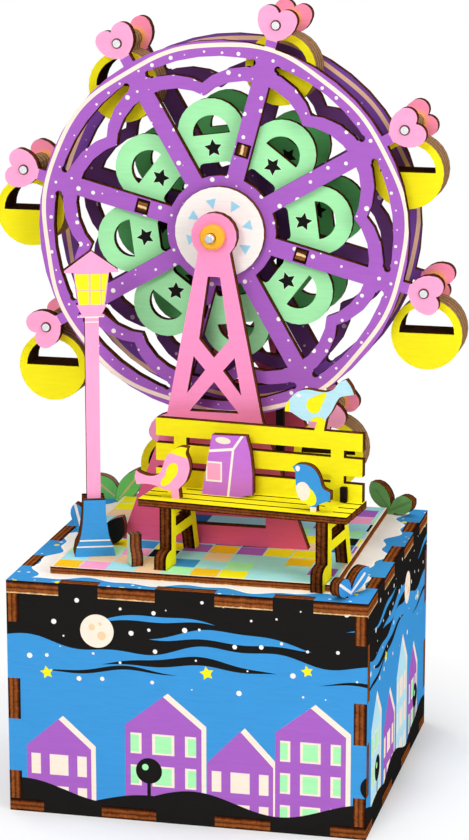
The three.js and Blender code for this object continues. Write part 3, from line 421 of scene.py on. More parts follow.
def burnt(paint, direction, start, end, dark=1.0, lip=False):
    """The laser cut edge of a sheet: charred at both faces, with its plies showing between.

    The pale line along the start, when asked for, is a painted highlight on the edge.
    """
    share = (paint.along(direction) - start) / (end - start)
    stops = EDGE_HIGHLIGHT_PLIES + EDGE_PLIES[2:] if lip else EDGE_PLIES
    wobble = paint.sway(0.14, size=2.0) + paint.sway(0.12, size=0.6)
    plies = paint.ramp(share + wobble, stops)
    through = 0.4
    stretch = [1 - (1 - through) * abs(part) for part in direction]
    streaks = paint.sway(1.2, size=0.5, stretch=stretch, detail=5.0)
    clouds = paint.sway(0.8, size=3.0)
    return paint.shaded(plies, streaks + clouds + dark)


def plate(name, node, direction, ink, dark=1.0, grain=GRAIN_X, roughness=0.55, lip=False):
    """Printed plywood: ink on its two faces, and burnt edges."""
    paint = Paint(name, roughness, specular=0.0)
    start, end = span(node, direction)
    colour = ink(paint)
    fibres = paint.noise(0.7, grain, detail=4.0)
    tone = (fibres - 0.5) * 0.14 + paint.sway(0.05, size=9.0) + 1
    printed = paint.shaded(colour, tone)
    flat = paint.faces(direction)
    edge = burnt(paint, direction, start, end, dark, lip)
    paint.bump(fibres, FIBRE_BUMP)
    return paint.done(paint.mix(flat, edge, printed), ~flat * EDGE_ROUGHER + roughness)


def paint_node(name, material):
    mesh = nodes[name].data
    mesh.materials.clear()
    mesh.materials.append(material)


def print_node(node, direction, ink, dark=1.0, name=None, **looks):
    """Gives a node of the model printed faces and burnt edges."""
    paint_node(node, plate(name or node + "_print", node, direction, ink, dark, **looks))


def plain_ink(name):
    """Ink of one colour."""
    return lambda paint: INK[name]


def star(u, v, at, size, turn=0.0):
    """A five pointed star as a mask."""
    du = u - at[0]
    dv = v - at[1]
    half = math.pi / 5
    inner = size / 2
    around = abs((dv.angle(du) - math.pi / 2 - turn).wrap(2 * half))
    normal = (inner * math.sin(half), size - inner * math.cos(half))
    reach = du.length(dv)
    edge = reach * (around.cos() * normal[0] + around.sin() * normal[1])
    return edge < size * normal[0]


def disc(u, v, at, radius):
    return (u - at[0]).length(v - at[1]) < radius


def ellipse(u, v, at, sizes, turn=0.0):
    du = u - at[0]
    dv = v - at[1]
    c, s = math.cos(turn), math.sin(turn)
    return ((du * c + dv * s) / sizes[0]).length((dv * c - du * s) / sizes[1]) < 1


def box(u, v, left, right, bottom, top):
    return u.between(left, right) & v.between(bottom, top)


def line(u, v, start, end, width):
    """A straight stroke with round ends."""
    (x0, y0), (x1, y1) = start, end
    reach = math.hypot(x1 - x0, y1 - y0)
    c, s = (x1 - x0) / reach, (y1 - y0) / reach
    du = u - x0
    dv = v - y0
    near = ((du * c + dv * s) / reach).clamped() * reach
    return (du - near * c).length(dv - near * s) < width / 2


def wave(u, base, parts):
    """A wavy height: a base and sines of (height, length, start)."""
    total = None
    for rise, length, start in parts:
        part = (u * (2 * math.pi / length) + start).sin() * rise
        total = part if total is None else total + part
    return total + base


# The night scene on the box, a design of its own for each side

def night_ink(u_of, shift, moon, houses, stars):
    """A side's night scene over its length u, which starts in its middle, and its height z."""
    hills = [(7.0, 2.6, 47, shift + 1.0), (4.6, 2.8, 61, shift * 2 + 2.0)]

    def ink(paint):
        u = u_of(paint)
        colour = draw_sky(paint, u, paint.z, shift)
        colour = draw_stars(paint, u, paint.z, stars, moon, colour)
        colour = draw_houses(paint, u, paint.z, houses, colour)
        return draw_hills(paint, u, paint.z, hills, colour)
    return ink


def draw_sky(paint, u, z, shift):
    """Black above blue, each with tapering streaks of the other, and white dots."""
    border = 48.5
    top = z > wave(u, border, [(1.6, 62, shift), (0.7, 23, shift * 2)])
    colour = paint.mix(top, INK["blue"], INK["black"])
    for height, thick, length, phase, ink in (
        (52.2, 1.5, 88, 0.4, "blue"), (56.0, 0.8, 70, 2.1, "blue"),
        (44.6, 1.2, 96, 1.2, "black"), (41.4, 0.6, 76, 3.0, "black"),
    ):
        taper = (u * (2 * math.pi / length) + phase + shift).sin() * thick
        centre = wave(u, height, [(1.2, 57, phase), (0.4, 21, shift)])
        colour = paint.mix(z.near(centre, taper), colour, INK[ink])
    shifted = u + 200
    dots = paint.dots(shifted, z, pitch=7.2, least=0.15, most=0.75, keep=0.8, floor=38)
    return paint.mix(dots, colour, INK["white"])


def draw_stars(paint, u, z, stars, moon, colour):
    """Yellow stars, and a full moon with three craters."""
    for at, size in stars:
        colour = paint.mix(star(u, z, at, size, turn=0.2), colour, INK["yellow"])
    moon_radius = 4.6
    colour = paint.mix(disc(u, z, moon, moon_radius), colour, INK["cream"])
    for right, up, radius in ((-1.4, 1.0, 0.9), (1.3, -1.2, 1.2), (0.9, 2.0, 0.5)):
        crater = disc(u, z, (moon[0] + right, moon[1] + up), radius)
        colour = paint.mix(crater, colour, INK["peach"])
    return colour


def draw_houses(paint, u, z, houses, colour):
    """Gabled houses, each with a pale side wall and rows of framed windows."""
    storey = 9.0
    under_wall = 5.0
    sill = 4
    for centre, half, wall, roof, ink, glass in houses:
        for aside, shade in ((1.3, "cream"), (0.0, ink)):
            away = abs(u - (centre + aside))
            gable = (away / half * -1 + 1) * roof + wall
            inside = (away < half) & (z < gable + aside * 0.8)
            colour = paint.mix(inside, colour, INK[shade])
        bay = half * 0.86
        columns = abs((u - centre).wrap(bay))
        rows = abs((z - wall + under_wall).wrap(storey))
        room = u.near(centre, bay) & z.between(sill, wall - 1)
        for across, up, shade in ((0.29, 2.9, "cream"), (0.22, 2.4, glass)):
            window = room & (columns < half * across) & (rows < up)
            colour = paint.mix(window, colour, INK[shade])
    return colour


def draw_hills(paint, u, z, hills, colour):
    """Black hills, with a round tree on each crest of the nearest."""
    for base, rise, length, phase in hills:
        colour = paint.mix(z < wave(u, base, [(rise, length, phase)]), colour, INK["black"])
    stem = 7.0
    half_stem = 0.5
    crown_radius = 3.6
    shine_radius = 0.9
    for foot, crest in crests(*hills[-1]):
        crown = disc(u, z, (foot, crest + stem), crown_radius)
        trunk = box(u, z, foot - half_stem, foot + half_stem, crest - 3, crest + stem)
        colour = paint.mix(crown | trunk, colour, INK["black"])
        shine = disc(u, z, (foot - 1.0, crest + stem + 1.0), shine_radius)
        colour = paint.mix(shine, colour, INK["mint"])
    return colour


def crests(base, rise, length, phase):
    """The three highest places of a wave that lie nearest the middle."""
    crest = (math.pi / 2 - phase) * length / (2 * math.pi)
    crest -= round(crest / length) * length
    return [(crest + i * length, base + rise) for i in (-1, 0, 1)]


def box_materials():
    centre_x = middle("front_panel", 0)
    centre_y = middle("right_panel", 1)

    # For each side: its facing, its length from the middle, a shift of the waves, the moon,
    # its houses as (middle, half width, wall, roof, colour, glass), and its stars
    sides = {
        "front_panel": (PLATE_Y, lambda p: p.x - centre_x, 0.3, (-24, 52.5), [
            (-6, 10.5, 27, 8.5, "purple", "mint"), (15, 9.0, 18, 9.5, "purple", "cream"),
            (34, 9.5, 28, 7.5, "purple", "mint"), (-35, 9.0, 19, 8.0, "purple", "cream"),
        ], [((6, 43), 2.0), ((-38, 40), 1.9), ((33, 45.5), 1.7)]),
        "right_panel": (PLATE_X, lambda p: p.y - centre_y, 1.4, (14, 51.5), [
            (6, 8.0, 30, 9.0, "pale_blue", "cream"), (25, 7.0, 23, 8.0, "purple", "mint"),
            (-14, 8.5, 21, 9.0, "purple", "cream"), (-34, 7.0, 28, 7.5, "pale_blue", "mint"),
        ], [((-20, 42), 1.9), ((32, 44), 1.8)]),
        "left_panel": (PLATE_X, lambda p: p.y * -1 + centre_y, 2.6, (-12, 52.0), [
            (-28, 8.0, 24, 9.0, "purple", "mint"), (-6, 7.5, 30, 8.0, "pale_blue", "cream"),
            (16, 9.0, 20, 8.0, "purple", "cream"), (36, 6.5, 27, 8.0, "purple", "mint"),
        ], [((6, 43), 1.9), ((-36, 45), 1.7)]),
        "back_panel": (PLATE_Y, lambda p: p.x * -1 + centre_x, 4.0, (22, 51.0), [
            (-30, 9.0, 25, 8.5, "purple", "cream"), (-8, 7.0, 29, 8.0, "pale_blue", "mint"),
            (14, 8.5, 21, 9.0, "purple", "mint"), (35, 7.5, 26, 7.5, "purple", "cream"),
        ], [((-16, 43), 2.0), ((34, 41), 1.7)]),
    }
    for name, (direction, *scene) in sides.items():
        print_node(name, direction, night_ink(*scene))
    print_node(
        "base_plate", PLATE_Z, plain_ink("wood"), name="base_plate_wood", roughness=0.7)


def inset(paint, node):
    """How far a point lies inside a node's edges, along X and along Y."""
    return [
        (place - low(node, axis)) & (place * -1 + high(node, axis))
        for axis, place in enumerate((paint.x, paint.y))
    ]


def lid_ink(paint):
    """Off-white with a wavy blue border in a white outline, and white and yellow dots in it."""
    x, y = paint.x, paint.y
    across = wave(x, 4.6, [(1.5, 31, 0.6), (0.8, 13, 2.0)])
    deep = wave(y, 4.8, [(1.6, 27, 1.9), (0.9, 11, 0.3)])
    near_x, near_y = inset(paint, "top_plate")
    inside = (near_x - deep) & (near_y - across)
    border = inside < 0
    outline = 0.6
    colour = paint.mix(inside < outline, INK["lid"], INK["foam"])
    colour = paint.mix(border, colour, INK["blue"])
    white = paint.dots(x, y, pitch=6.0, least=0.1, most=0.55, keep=0.75)
    colour = paint.mix(white & border, colour, INK["white"])
    yellow = paint.dots(x + 31, y + 17, pitch=9.0, least=0.2, most=1.1, keep=0.45)
    return paint.mix(yellow & border, colour, INK["yellow"])


def tile_ink(paint):
    """Square tiles in mixed colours with thin pale joints, and a cream rim round them."""
    pitch = 7.6
    half_joint = 0.16
    rim = 0.6
    u = (paint.x - low("platform", 0)) / pitch
    v = (paint.y - low("platform", 1)) / pitch
    pick = paint.chance(u.floor(), v.floor())
    stops = []
    place = 0.0
    for name, share in (
        ("teal", 0.38), ("yellow", 0.10), ("mint", 0.08), ("peach", 0.10), ("dark_blue", 0.09),
        ("blue", 0.05), ("purple", 0.05), ("gold", 0.04), ("black", 0.07), ("pink", 0.04),
    ):
        stops.append((place, INK[name]))
        place += share
    colour = paint.ramp(pick, stops, steps=True)
    gap = 0.5 - half_joint / pitch
    joint = (abs((u - 0.5).wrap(1)) > gap) | (abs((v - 0.5).wrap(1)) > gap)
    colour = paint.mix(joint, colour, INK["teal"])
    near_x, near_y = inset(paint, "platform")
    return paint.mix((near_x & near_y) < rim, colour, INK["cream"])


# The wheel and its towers

def wheel_place(paint):
    """Radius and angle round the axle, in millimetres and radians."""
    up = paint.z - AXLE_Z
    return paint.x.length(up), up.angle(paint.x)


def bay_place(paint, start):
    """Distance out from the axle and distance aside, in the bay that a point lies in."""
    radius, angle = wheel_place(paint)
    part = (angle - start).wrap(BAY)
    return radius * part.cos(), radius * part.sin()


def rim_dots(paint, radius, angle, keep):
    """A row of dots of mixed sizes round the rim, inside the line."""
    count = 62
    play = 0.6
    least = 0.18
    spread = 0.42
    pitch = 2 * math.pi * DOT_CIRCLE / count
    cell = (angle * (count / (2 * math.pi))).floor()
    slide, lift, size = (paint.chance(cell, row) for row in (1.5, 2.5, 3.5))
    along = angle * DOT_CIRCLE - (cell + 0.3 + slide * 0.4) * pitch
    across = radius - (lift * play + DOT_CIRCLE - play / 2)
    return (along.length(across) < size * spread + least) & (size < keep)


def ring_ink(front):
    """Purple with dots and a wavy cream line near the rim, and pink hearts. The rear ring is
    painted in darker colours as shade, and the hearts get painted shade round their pins.
    """
    if front:
        outer, inner, line_ink, dot_ink, keep = "purple", "purple", "cream", "white", 0.92
    else:
        # The rear ring: the front's print in darker colours, as painted shade, darkest inside the
        # rim
        outer, inner, line_ink, dot_ink, keep = (
            "shaded_rear_purple", "shade_purple", "shaded_cream", "shaded_rear_dot", 0.5)
    half_line = 0.58
    # Radius of the painted shade round each front pin, over the burnt edge of its hole
    pin_gap_shade = 1.45
    # Reach of the painted cast on the rear hearts
    cast_reach = 5.2

    def ink(paint):
        radius, angle = wheel_place(paint)
        reach, side = bay_place(paint, WHEEL_TURN)
        body = paint.mix(radius < RIM_START, INK[outer], INK[inner])
        spots = paint.dots(paint.x + 100, paint.z, pitch=4.7, least=0.12, most=0.72, keep=keep)
        spots = spots & (radius < SPOTS_END)
        body = paint.mix(spots | rim_dots(paint, radius, angle, keep), body, INK[dot_ink])
        crest = (angle * 5 + 1.0).sin() * 0.5 + (angle * 11).sin() * 0.3 + LINE_CIRCLE
        body = paint.mix(radius.near(crest, half_line), body, INK[line_ink])
        away = (reach - PIN_CIRCLE).length(side)
        if front:
            heart = paint.mix(away < pin_gap_shade, INK["pink"], INK["pin_gap_shade"])
        else:
            # A painted cast of shade and reflected colour from the front heart: yellow at the
            # pin, then orange, then pink
            heart = paint.ramp(away / cast_reach, [
                (0.0, INK["yellow"]), (0.32, INK["orange"]), (0.68, INK["red_pink"])])
        return paint.mix(reach > HEARTS_START, body, heart)
    return ink


def petal_ink(colour, halo):
    """One colour, with a black star in a halo on each petal, and painted shade in dark purple
    round the hub.
    """
    def ink(paint):
        radius, _ = wheel_place(paint)
        reach, side = bay_place(paint, WHEEL_TURN + BAY / 2)
        # Painted shade: dark purple round the hub, where the wheel is dark inside
        base = paint.mix(radius < HUB_EDGE, INK[colour], INK["shade_purple"])
        for size, shade in ((2.95, halo), (2.55, "black")):
            base = paint.mix(star(side, reach, (0, STAR_CIRCLE), size), base, INK[shade])
        return base
    return ink


def hub_ink(paint):
    """White with a ring of pale blue triangles that point at the axle."""
    inner = 6.4
    outer = 9.2
    slope = 0.52
    reach, side = bay_place(paint, math.radians(15))
    wedge = reach.between(inner, outer) & (abs(side) < (reach - inner) * slope)
    return paint.mix(wedge, INK["white"], INK["hub_blue"])


def fading_ink(foot, height, *names):
    """Colours that pass into each other, from a height in the model upwards."""
    stops = [(i / (len(names) - 1), INK[name]) for i, name in enumerate(names)]
    return lambda paint: paint.ramp((paint.z - foot) / height, stops)


def wheel_materials():
    tower = fading_ink(82, 26, "tower_low", "tower_middle", "tower_top")
    # The rear tower in darker pinks: painted shade
    rear_tower = fading_ink(78, 60, "shaded_rear_tower_low", "shaded_rear_tower_top")
    for node, ink, dark, name in (
        ("front_ring", ring_ink(front=True), 0.45, "front_ring_print"),
        ("rear_ring", ring_ink(front=False), 0.45, "rear_ring_print"),
        ("front_petal_plate", petal_ink("mint", "pale_mint"), 0.4, "mint_petals"),
        ("rear_petal_plate", petal_ink("green", "green"), 0.4, "green_petals"),
        ("hub_disc", hub_ink, 1.0, "hub_print"),
        ("front_tower", tower, 0.7, "tower_print"),
        ("rear_tower", rear_tower, 0.7, "rear_tower_print"),
        ("wheel_pulley", plain_ink("wood"), 1.0, "pulley_wood"),
        ("drive_pulley", plain_ink("wood"), 1.0, "drive_pulley_wood"),
    ):
        print_node(node, PLATE_Y, ink, dark, name)
    for i in range(BAYS // 2):
        name = f"wheel_spacer_{i + 1}"
        angle = WHEEL_TURN + BAY * (1 + 2 * i)
        across = (-math.sin(angle), 0, math.cos(angle))
        outward = (math.cos(angle), 0, math.sin(angle))
        paint_node(name, spacer_material(name, across, outward))


def spacer_material(name, across, outward):
    """A spacer, whose ends show its plies, charred all round and with a bright ply between that
    is painted brighter as a highlight.
    """
    paint = Paint(name + "_wood", 0.55, specular=0.0)
    wobble = paint.sway(0.22, size=0.9)
    start, end = span(name, across)
    share = (paint.along(across) - start) / (end - start)
    plies = paint.ramp(share + wobble * 0.6, SPACER_PLIES)
    start, end = span(name, outward)
    along = (paint.along(outward) - start) / (end - start)
    clean_half = 0.39
    charred = abs(along + wobble - 0.5) > clean_half
    plies = paint.mix(charred, plies, INK["char"])
    streaks = paint.noise(0.5, detail=3.0)
    paint.bump(streaks, 0.05)
    return paint.done(paint.varied(plies, streaks, 0.7))


def gondola_material(name):
    """Yellow faces, plies of the sheets on the outer side, and a charred window painted darker as
    shade.
    """
    roughness = 0.5
    paint = Paint(name + "_print", roughness, specular=0.0)
    sheets = 4
    start, end = span(name, PLATE_Y)
    depth = (end - start) / sheets
    share = ((paint.y - start) / depth).use("FRACT")
    plies = paint.ramp(share, GONDOLA_PLIES)
    streaks = paint.noise(0.6, (1, 0.2, 1), detail=3.0)
    edge = paint.shaded(plies, (streaks - 0.5) * 0.9 + 1.06)
    radius = (high(name, 0) - low(name, 0)) / 2
    away = (paint.x - middle(name, 0)).length(paint.z - (low(name, 2) + radius))
    # The window's edge: charred, and painted darker as the shade inside the window
    charred = paint.shaded(INK["shaded_window_edge"], streaks + 0.2)
    rim = 0.5
    edge = paint.mix(away < radius - rim, edge, charred)
    fibres = paint.noise(0.7, GRAIN_X, detail=4.0)
    yellow = paint.varied(INK["yellow"], fibres, 0.12)
    flat = paint.faces(PLATE_Y)
    paint.bump(fibres, FIBRE_BUMP)
    return paint.done(paint.mix(flat, edge, yellow), ~flat * EDGE_ROUGHER + roughness)


# Bench, figures, lamp and leaves

def bench_materials():
    yellow = plain_ink("yellow")
    print_node("bench_seat", PLATE_Z, yellow, 0.75)
    print_node("bench_back", BENCH_Y, yellow, 0.6)
    for name in ("bench_leg_left", "bench_leg_right"):
        print_node(name, BENCH_X, yellow, 0.55, grain=GRAIN_Z)


def figure_ink(node, draw):
    """Ink that is drawn in shares of a figure's length and height."""
    left, right = span(node, BENCH_X)
    start = ahead(BENCH_X, BENCH_AT)
    floor, top = span(node, PLATE_Z)

    def ink(paint):
        u = paint.along(BENCH_X) - start
        s = (u - (left - start)) / (right - left)
        t = (paint.z - floor) / (top - floor)
        return draw(paint, s, t)
    return ink


def draw_pink_bird(paint, s, t):
    wing = ellipse(s, t, (0.68, 0.52), (0.1, 0.17), -0.35)
    wing = wing | ellipse(s, t, (0.6, 0.36), (0.075, 0.17), -0.7)
    cap = ((t + s * 0.25) > 1.03) & (s > 0.5)
    return paint.mix(wing | cap, INK["pink"], INK["yellow"])


def draw_blue_bird(paint, s, t):
    colour = paint.mix(t < 0.1, INK["blue"], INK["cream"])
    wing = ellipse(s, t, (0.36, 0.34), (0.3, 0.19), -0.5) & (s > 0.1)
    colour = paint.mix(wing, colour, INK["yellow"])
    belly = ellipse(s, t, (0.27, 0.42), (0.2, 0.2), 0.35)
    colour = paint.mix(belly, colour, INK["cream"])
    colour = paint.mix(s > 0.68, colour, INK["blue"])
    return paint.mix(disc(s, t, (0.14, 0.9), 0.06), colour, INK["white"])


def draw_pale_bird(paint, s, t):
    wing = ellipse(s, t, (0.42, 0.47), (0.105, 0.15))
    for i in range(1, 4):
        at = (0.42 + 0.05 * i, 0.47 + 0.07 * i)
        wing = wing | ellipse(s, t, at, (0.105 - 0.024 * i, 0.15 - 0.032 * i))
    legs = ellipse(s, t, (0.49, 0.08), (0.13, 0.18))
    beak = s < 0.07
    colour = paint.mix(wing | legs | beak, INK["pale_blue"], INK["yellow"])
    return paint.mix(disc(s, t, (0.2, 0.64), 0.035), colour, INK["white"])


def draw_bag(paint, s, t):
    colour = INK["bag"]
    for start, end in (
        ((0.82, 1.02), (0.62, 0.77)), ((0.62, 0.77), (0.52, 0.0)), ((0.1, 0.71), (0.62, 0.77)),
    ):
        colour = paint.mix(line(s, t, start, end, 0.045), colour, INK["white"])
    colour = paint.mix(ellipse(s, t, (0.42, 0.9), (0.15, 0.055), -0.05), colour, INK["cream"])
    colour = paint.mix(box(s, t, 0.08, 0.4, 0.22, 0.55), colour, INK["white"])
    return paint.mix(box(s, t, 0.11, 0.37, 0.25, 0.52), colour, INK["pink"])


def figure_materials():
    for name, draw in (
        ("pink_bird", draw_pink_bird), ("blue_bird", draw_blue_bird),
        ("pale_blue_bird", draw_pale_bird), ("school_bag", draw_bag),
    ):
        print_node(name, BENCH_Y, figure_ink(name, draw), 0.8)


def lamp_ink(paint):
    """Pink, with yellow panes between pale bars, and a pale line at each ring."""
    u = paint.along(LAMP_X) - ahead(LAMP_X, LAMP_AT)
    cap_height = 6.2
    pane_height = 8.3
    panes_top = high("street_lamp", 2) - cap_height
    panes_low = panes_top - pane_height
    rise = (paint.z - panes_low) / (panes_top - panes_low)
    half = rise * 1.1 + 3.3
    inside = paint.z.between(panes_low, panes_top) & (abs(u) < half)
    bars = u.near(-0.45, 0.3) | u.near(2.6, 0.22) | rise.near(0.47, 0.03)
    colour = paint.mix(inside, INK["pink"], INK["pane"])
    colour = paint.mix(inside & bars, colour, INK["pane_bar"])
    collar = panes_low - 0.4
    rings = paint.z.near(collar - 3.0, 0.22) | paint.z.near(collar - 4.3, 0.16)
    return paint.mix(rings, colour, INK["cream"])


def lamp_base_ink(paint):
    """Blue with two white lines near the foot."""
    rise = paint.z - DECK
    lines = rise.between(2.55, 2.95) | rise.between(4.3, 4.7)
    return paint.mix(lines, INK["blue"], INK["white"])


def sprig_ink(foot, turn, leans, colours):
    """A sprig of two tones, with a midrib up each of its leaves."""
    base, tone, vein = colours
    along = turned(turn)[0]
    stem = 1.2
    rib = 7.0
    rib_width = 0.8

    def ink(paint):
        u = paint.along(along) - ahead(along, foot)
        v = paint.z - LID - stem
        colour = paint.mix(paint.noise(4.0, (1, 1, 0.4)), INK[base], INK[tone])
        for lean in leans:
            end = (rib * math.sin(math.radians(lean)), rib * math.cos(math.radians(lean)))
            colour = paint.mix(line(u, v, (0, 0), end, rib_width), colour, INK[vein])
        return colour
    return ink


def small_materials():
    print_node("street_lamp", LAMP_Y, lamp_ink, 0.6, "lamp_print", grain=(1, 1, 0.1))
    print_node("lamp_base", LAMP_Y, lamp_base_ink, 0.6)
    for name, foot, turn, leans, colours in (
        ("leaf_sprig_right", (41.0, 30.1), -18, (-40, 62), ("sprig", "dark_sprig", "dark_sprig")),
        ("leaf_sprig_left", (-41, -8.8), 0, (-14, 44), ("blue", "blue", "white")),
        ("leaf_sprig_front", (43.6, -54.1), 64, (-56, 56), ("blue", "blue", "white")),
    ):
        turn = math.radians(turn)
        print_node(name, turned(turn)[1], sprig_ink(foot, turn, leans, colours), 0.7)


# Metal, plastic, rubber and turned wood

def metal(name, colour, roughness, brush=(1, 0.1, 1)):
    """Metal with fine marks, which are stretched along the axle unless brush says otherwise."""
    paint = Paint(name, roughness, metallic=1.0, specular=0.5)
    marks = paint.noise(0.35, brush, detail=4.0)
    paint.bump(marks, 0.02)
    return paint.done(paint.varied(colour, marks, 0.25), (marks - 0.5) * 0.2 + roughness)


def pin_material():
    """Bright in the middle of the head, with painted shade round it where the pin sits in its
    hole.
    """
    head = 1.05
    paint = Paint("pin_steel", 0.22, metallic=1.0, specular=0.5)
    reach, side = bay_place(paint, WHEEL_TURN)
    away = (reach - PIN_CIRCLE).length(side)
    marks = paint.noise(0.35, (1, 0.1, 1), detail=4.0)
    bright = paint.varied(INK["pin"], marks, 0.3)
    paint.bump(marks, 0.03)
    return paint.done(paint.mix(away > head, bright, INK["pin_edge_shade"]))


def smooth(name, colour, roughness, size=0.8, mottle=0.08, coat=0.0):
    """Moulded or painted, with faint clouds of a size in millimetres."""
    paint = Paint(name, roughness, coat=coat)
    cloud = paint.noise(size, detail=3.0)
    paint.bump(cloud, 0.05)
    return paint.done(paint.varied(colour, cloud, mottle), (cloud - 0.5) * 0.1 + roughness)


def washer_material():
    """Turned wood with orange paint: fine rings round the axle."""
    paint = Paint("washer_paint", 0.4, coat=0.15)
    radius, _ = wheel_place(paint)
    rings = (radius * 9 + paint.noise(1.5) * 3).sin() * 0.5 + 0.5
    paint.bump(rings, 0.03)
    return paint.done(paint.shaded(INK["orange"], rings * 0.08 + 0.96))


def fitting_materials():
    steel = metal("steel", INK["steel"], 0.25)
    for name in ("crank_shaft", "knob_stem", "wheel_axle", "music_comb"):
        paint_node(name, steel)
    pins = pin_material()
    for i in range(1, BAYS + 1):
        paint_node(f"gondola_pin_{i}", pins)
        paint_node(f"gondola_{i}", gondola_material(f"gondola_{i}"))
    brass = metal("brass", INK["brass"], 0.3, brush=(1, 1, 1))
    for name in ("movement_frame", "pin_cylinder"):
        paint_node(name, brass)
    belt = smooth("belt_rubber", INK["rubber"], 0.75, size=0.4, mottle=0.3)
    knob = smooth("knob_paint", INK["yellow"], 0.4, size=2.0, mottle=0.1, coat=0.2)
    paint_node("cylinder_gear", smooth("gear_plastic", INK["plastic"], 0.4))
    paint_node("drive_belt", belt)
    paint_node("crank_knob", knob)
    paint_node("axle_washer", washer_material())
    print_node("crank_arm", PLATE_Y, plain_ink("pink"), 0.85)
    print_node("platform", PLATE_Z, tile_ink, 1.1, "tile_print", lip=True)
    print_node("top_plate", PLATE_Z, lid_ink, 1.05, "lid_print", lip=True)


box_materials()
wheel_materials()
bench_materials()
figure_materials()
small_materials()
fitting_materials()


# Pieces that the model leaves to the scene

def sheet_piece(name, outline, thickness, at, turn, material):
    """An upright plate from an outline in millimetres, with its foot at a place."""
    bevel = 0.12
    mesh = bpy.data.meshes.new(name)
    form = bmesh.new()
    front = [form.verts.new((x, -thickness / 2, z)) for x, z in outline]
    face = form.faces.new(front)
    grown = bmesh.ops.extrude_face_region(form, geom=[face])
    moved = [v for v in grown["geom"] if isinstance(v, bmesh.types.BMVert)]
    bmesh.ops.translate(form, verts=moved, vec=(0, thickness, 0))
    bmesh.ops.recalc_face_normals(form, faces=form.faces)
    bmesh.ops.bevel(form, geom=form.edges[:], offset=bevel, segments=1, affect="EDGES")
    bmesh.ops.transform(form, matrix=Matrix.Rotation(turn, 4, "Z"), verts=form.verts)
    bmesh.ops.translate(form, verts=form.verts, vec=at)
    bmesh.ops.scale(form, vec=(MM, MM, MM), verts=form.verts)
    form.to_mesh(mesh)
    form.free()
    piece = bpy.data.objects.new(name, mesh)
    bpy.context.scene.collection.objects.link(piece)
    mesh.materials.append(material)
    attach(piece, "stand")


def leaf_outline(length, width, lean):
    """A pointed leaf from its foot, leaning to one side."""
    steps = 14
    least_gap = 0.05
    sides = []
    for side in (1, -1):
        for i in range(steps + 1):
            share = i / steps if side == 1 else 1 - i / steps
            half = width / 2 * math.sin(math.pi * share ** 0.9) ** 0.8 * side
            sides.append((half, share * length))
    points = []
    for x, z in sides:
        spot = (x * math.cos(lean) + z * math.sin(lean), z * math.cos(lean) - x * math.sin(lean))
        if not points or math.dist(spot, points[-1]) > least_gap:
            points.append(spot)
    if math.dist(points[0], points[-1]) < least_gap:
        points.pop()
    return points


def sheet_material(paint, across, at, thickness, inked, fibres, dark):
    """Ink on the faces of a scene's own sheet, and burnt edges."""
    start = ahead(across, at[:2]) - thickness / 2
    edge = burnt(paint, across, start, start + thickness, dark)
    paint.bump(fibres, FIBRE_BUMP)
    return paint.done(paint.mix(paint.faces(across), edge, inked))


def leaf_material(name, colour, vein, at, thickness, lean, length):
    """A leaf in one colour, with a midrib."""
    paint = Paint(name, 0.55)
    half_rib = 0.28
    u = paint.x - at[0]
    v = paint.z - at[2]
    aside = u * math.cos(lean) - v * math.sin(lean)
    up = u * math.sin(lean) + v * math.cos(lean)
    rib = (abs(aside) < half_rib) & up.between(0.12 * length, 0.85 * length)
    fibres = paint.noise(0.8, (1, 1, 0.2), detail=3.0)
    inked = paint.varied(paint.mix(rib, INK[colour], INK[vein]), fibres, 0.25)
    return sheet_material(paint, PLATE_Y, at, thickness, inked, fibres, 0.9)


def post_material(at, thickness, turn):
    """The small upright, in pale green."""
    paint = Paint("post_print", 0.55)
    fibres = paint.noise(0.7, (1, 1, 0.15), detail=4.0)
    inked = paint.varied(INK["post"], fibres, 0.2)
    return sheet_material(paint, turned(turn)[1], at, thickness, inked, fibres, 0.8)


def bracket_material():
    """Charred wood: the bracket lies beyond the plies' span, so only their dark end shows."""
    paint = Paint("bracket_wood", 0.8)
    return paint.done(burnt(paint, BENCH_X, 0, 3, dark=0.6))


def leaf_pieces():
    ply = 3.0
    for name, at, lean, length, width, colour, vein in (
        ("leaf_rear_left", (-40.6, 29.0, LID), -52, 11.0, 6.8, "leaf", "leaf_vein"),
        ("leaf_rear_right", (-40.2, 25.4, LID), 38, 14.0, 6.0, "leaf", "leaf_vein"),
        ("leaf_dark", (-29.0, -26.0, DECK), 30, 9.4, 6.0, "black", "black"),
    ):
        lean = math.radians(lean)
        outline = leaf_outline(length, width, lean)
        material = leaf_material(name + "_print", colour, vein, at, ply, lean, length)
        sheet_piece(name, outline, ply, at, 0.0, material)


def post_piece():
    outline = [
        (-2.0, 0), (2.4, 0), (2.8, 1.2), (2.8, 2.4), (2.4, 3.5), (1.5, 4.3), (1.1, 5.4),
        (1.1, 8.6), (-2.0, 8.6),
    ]
    at = (-16.2, -44.2, DECK)
    turn = math.radians(-60)
    ply = 3.3
    material = post_material(at, ply, turn)
    sheet_piece("small_post", outline, ply, at, turn, material)


def bracket_piece():
    """A small tab on the seat, behind the back rest."""
    half = 0.9
    height = 4.1
    outline = [(-half, 0), (half, 0), (half, height), (-half, height)]
    aside, behind = 23.4, 8.4
    foot = Vector(BENCH_AT).to_3d() + Vector(BENCH_X) * aside + Vector(BENCH_Y) * behind
    at = (foot.x, foot.y, SEAT + 0.1)
    sheet_piece("back_bracket", outline, 1.4, at, BENCH_TURN, bracket_material())


leaf_pieces()
post_piece()
bracket_piece()


# Floor, light and camera

AMBIENT = 0.26


def rays_that_see(tree):
    """1 for rays that show the background: from the camera, a gloss or through glass."""
    path = tree.nodes.new("ShaderNodeLightPath")
    seen = Field(tree, path.outputs["Is Camera Ray"])
    seen = seen | Field(tree, path.outputs["Is Glossy Ray"])
    return seen | Field(tree, path.outputs["Is Transmission Ray"])


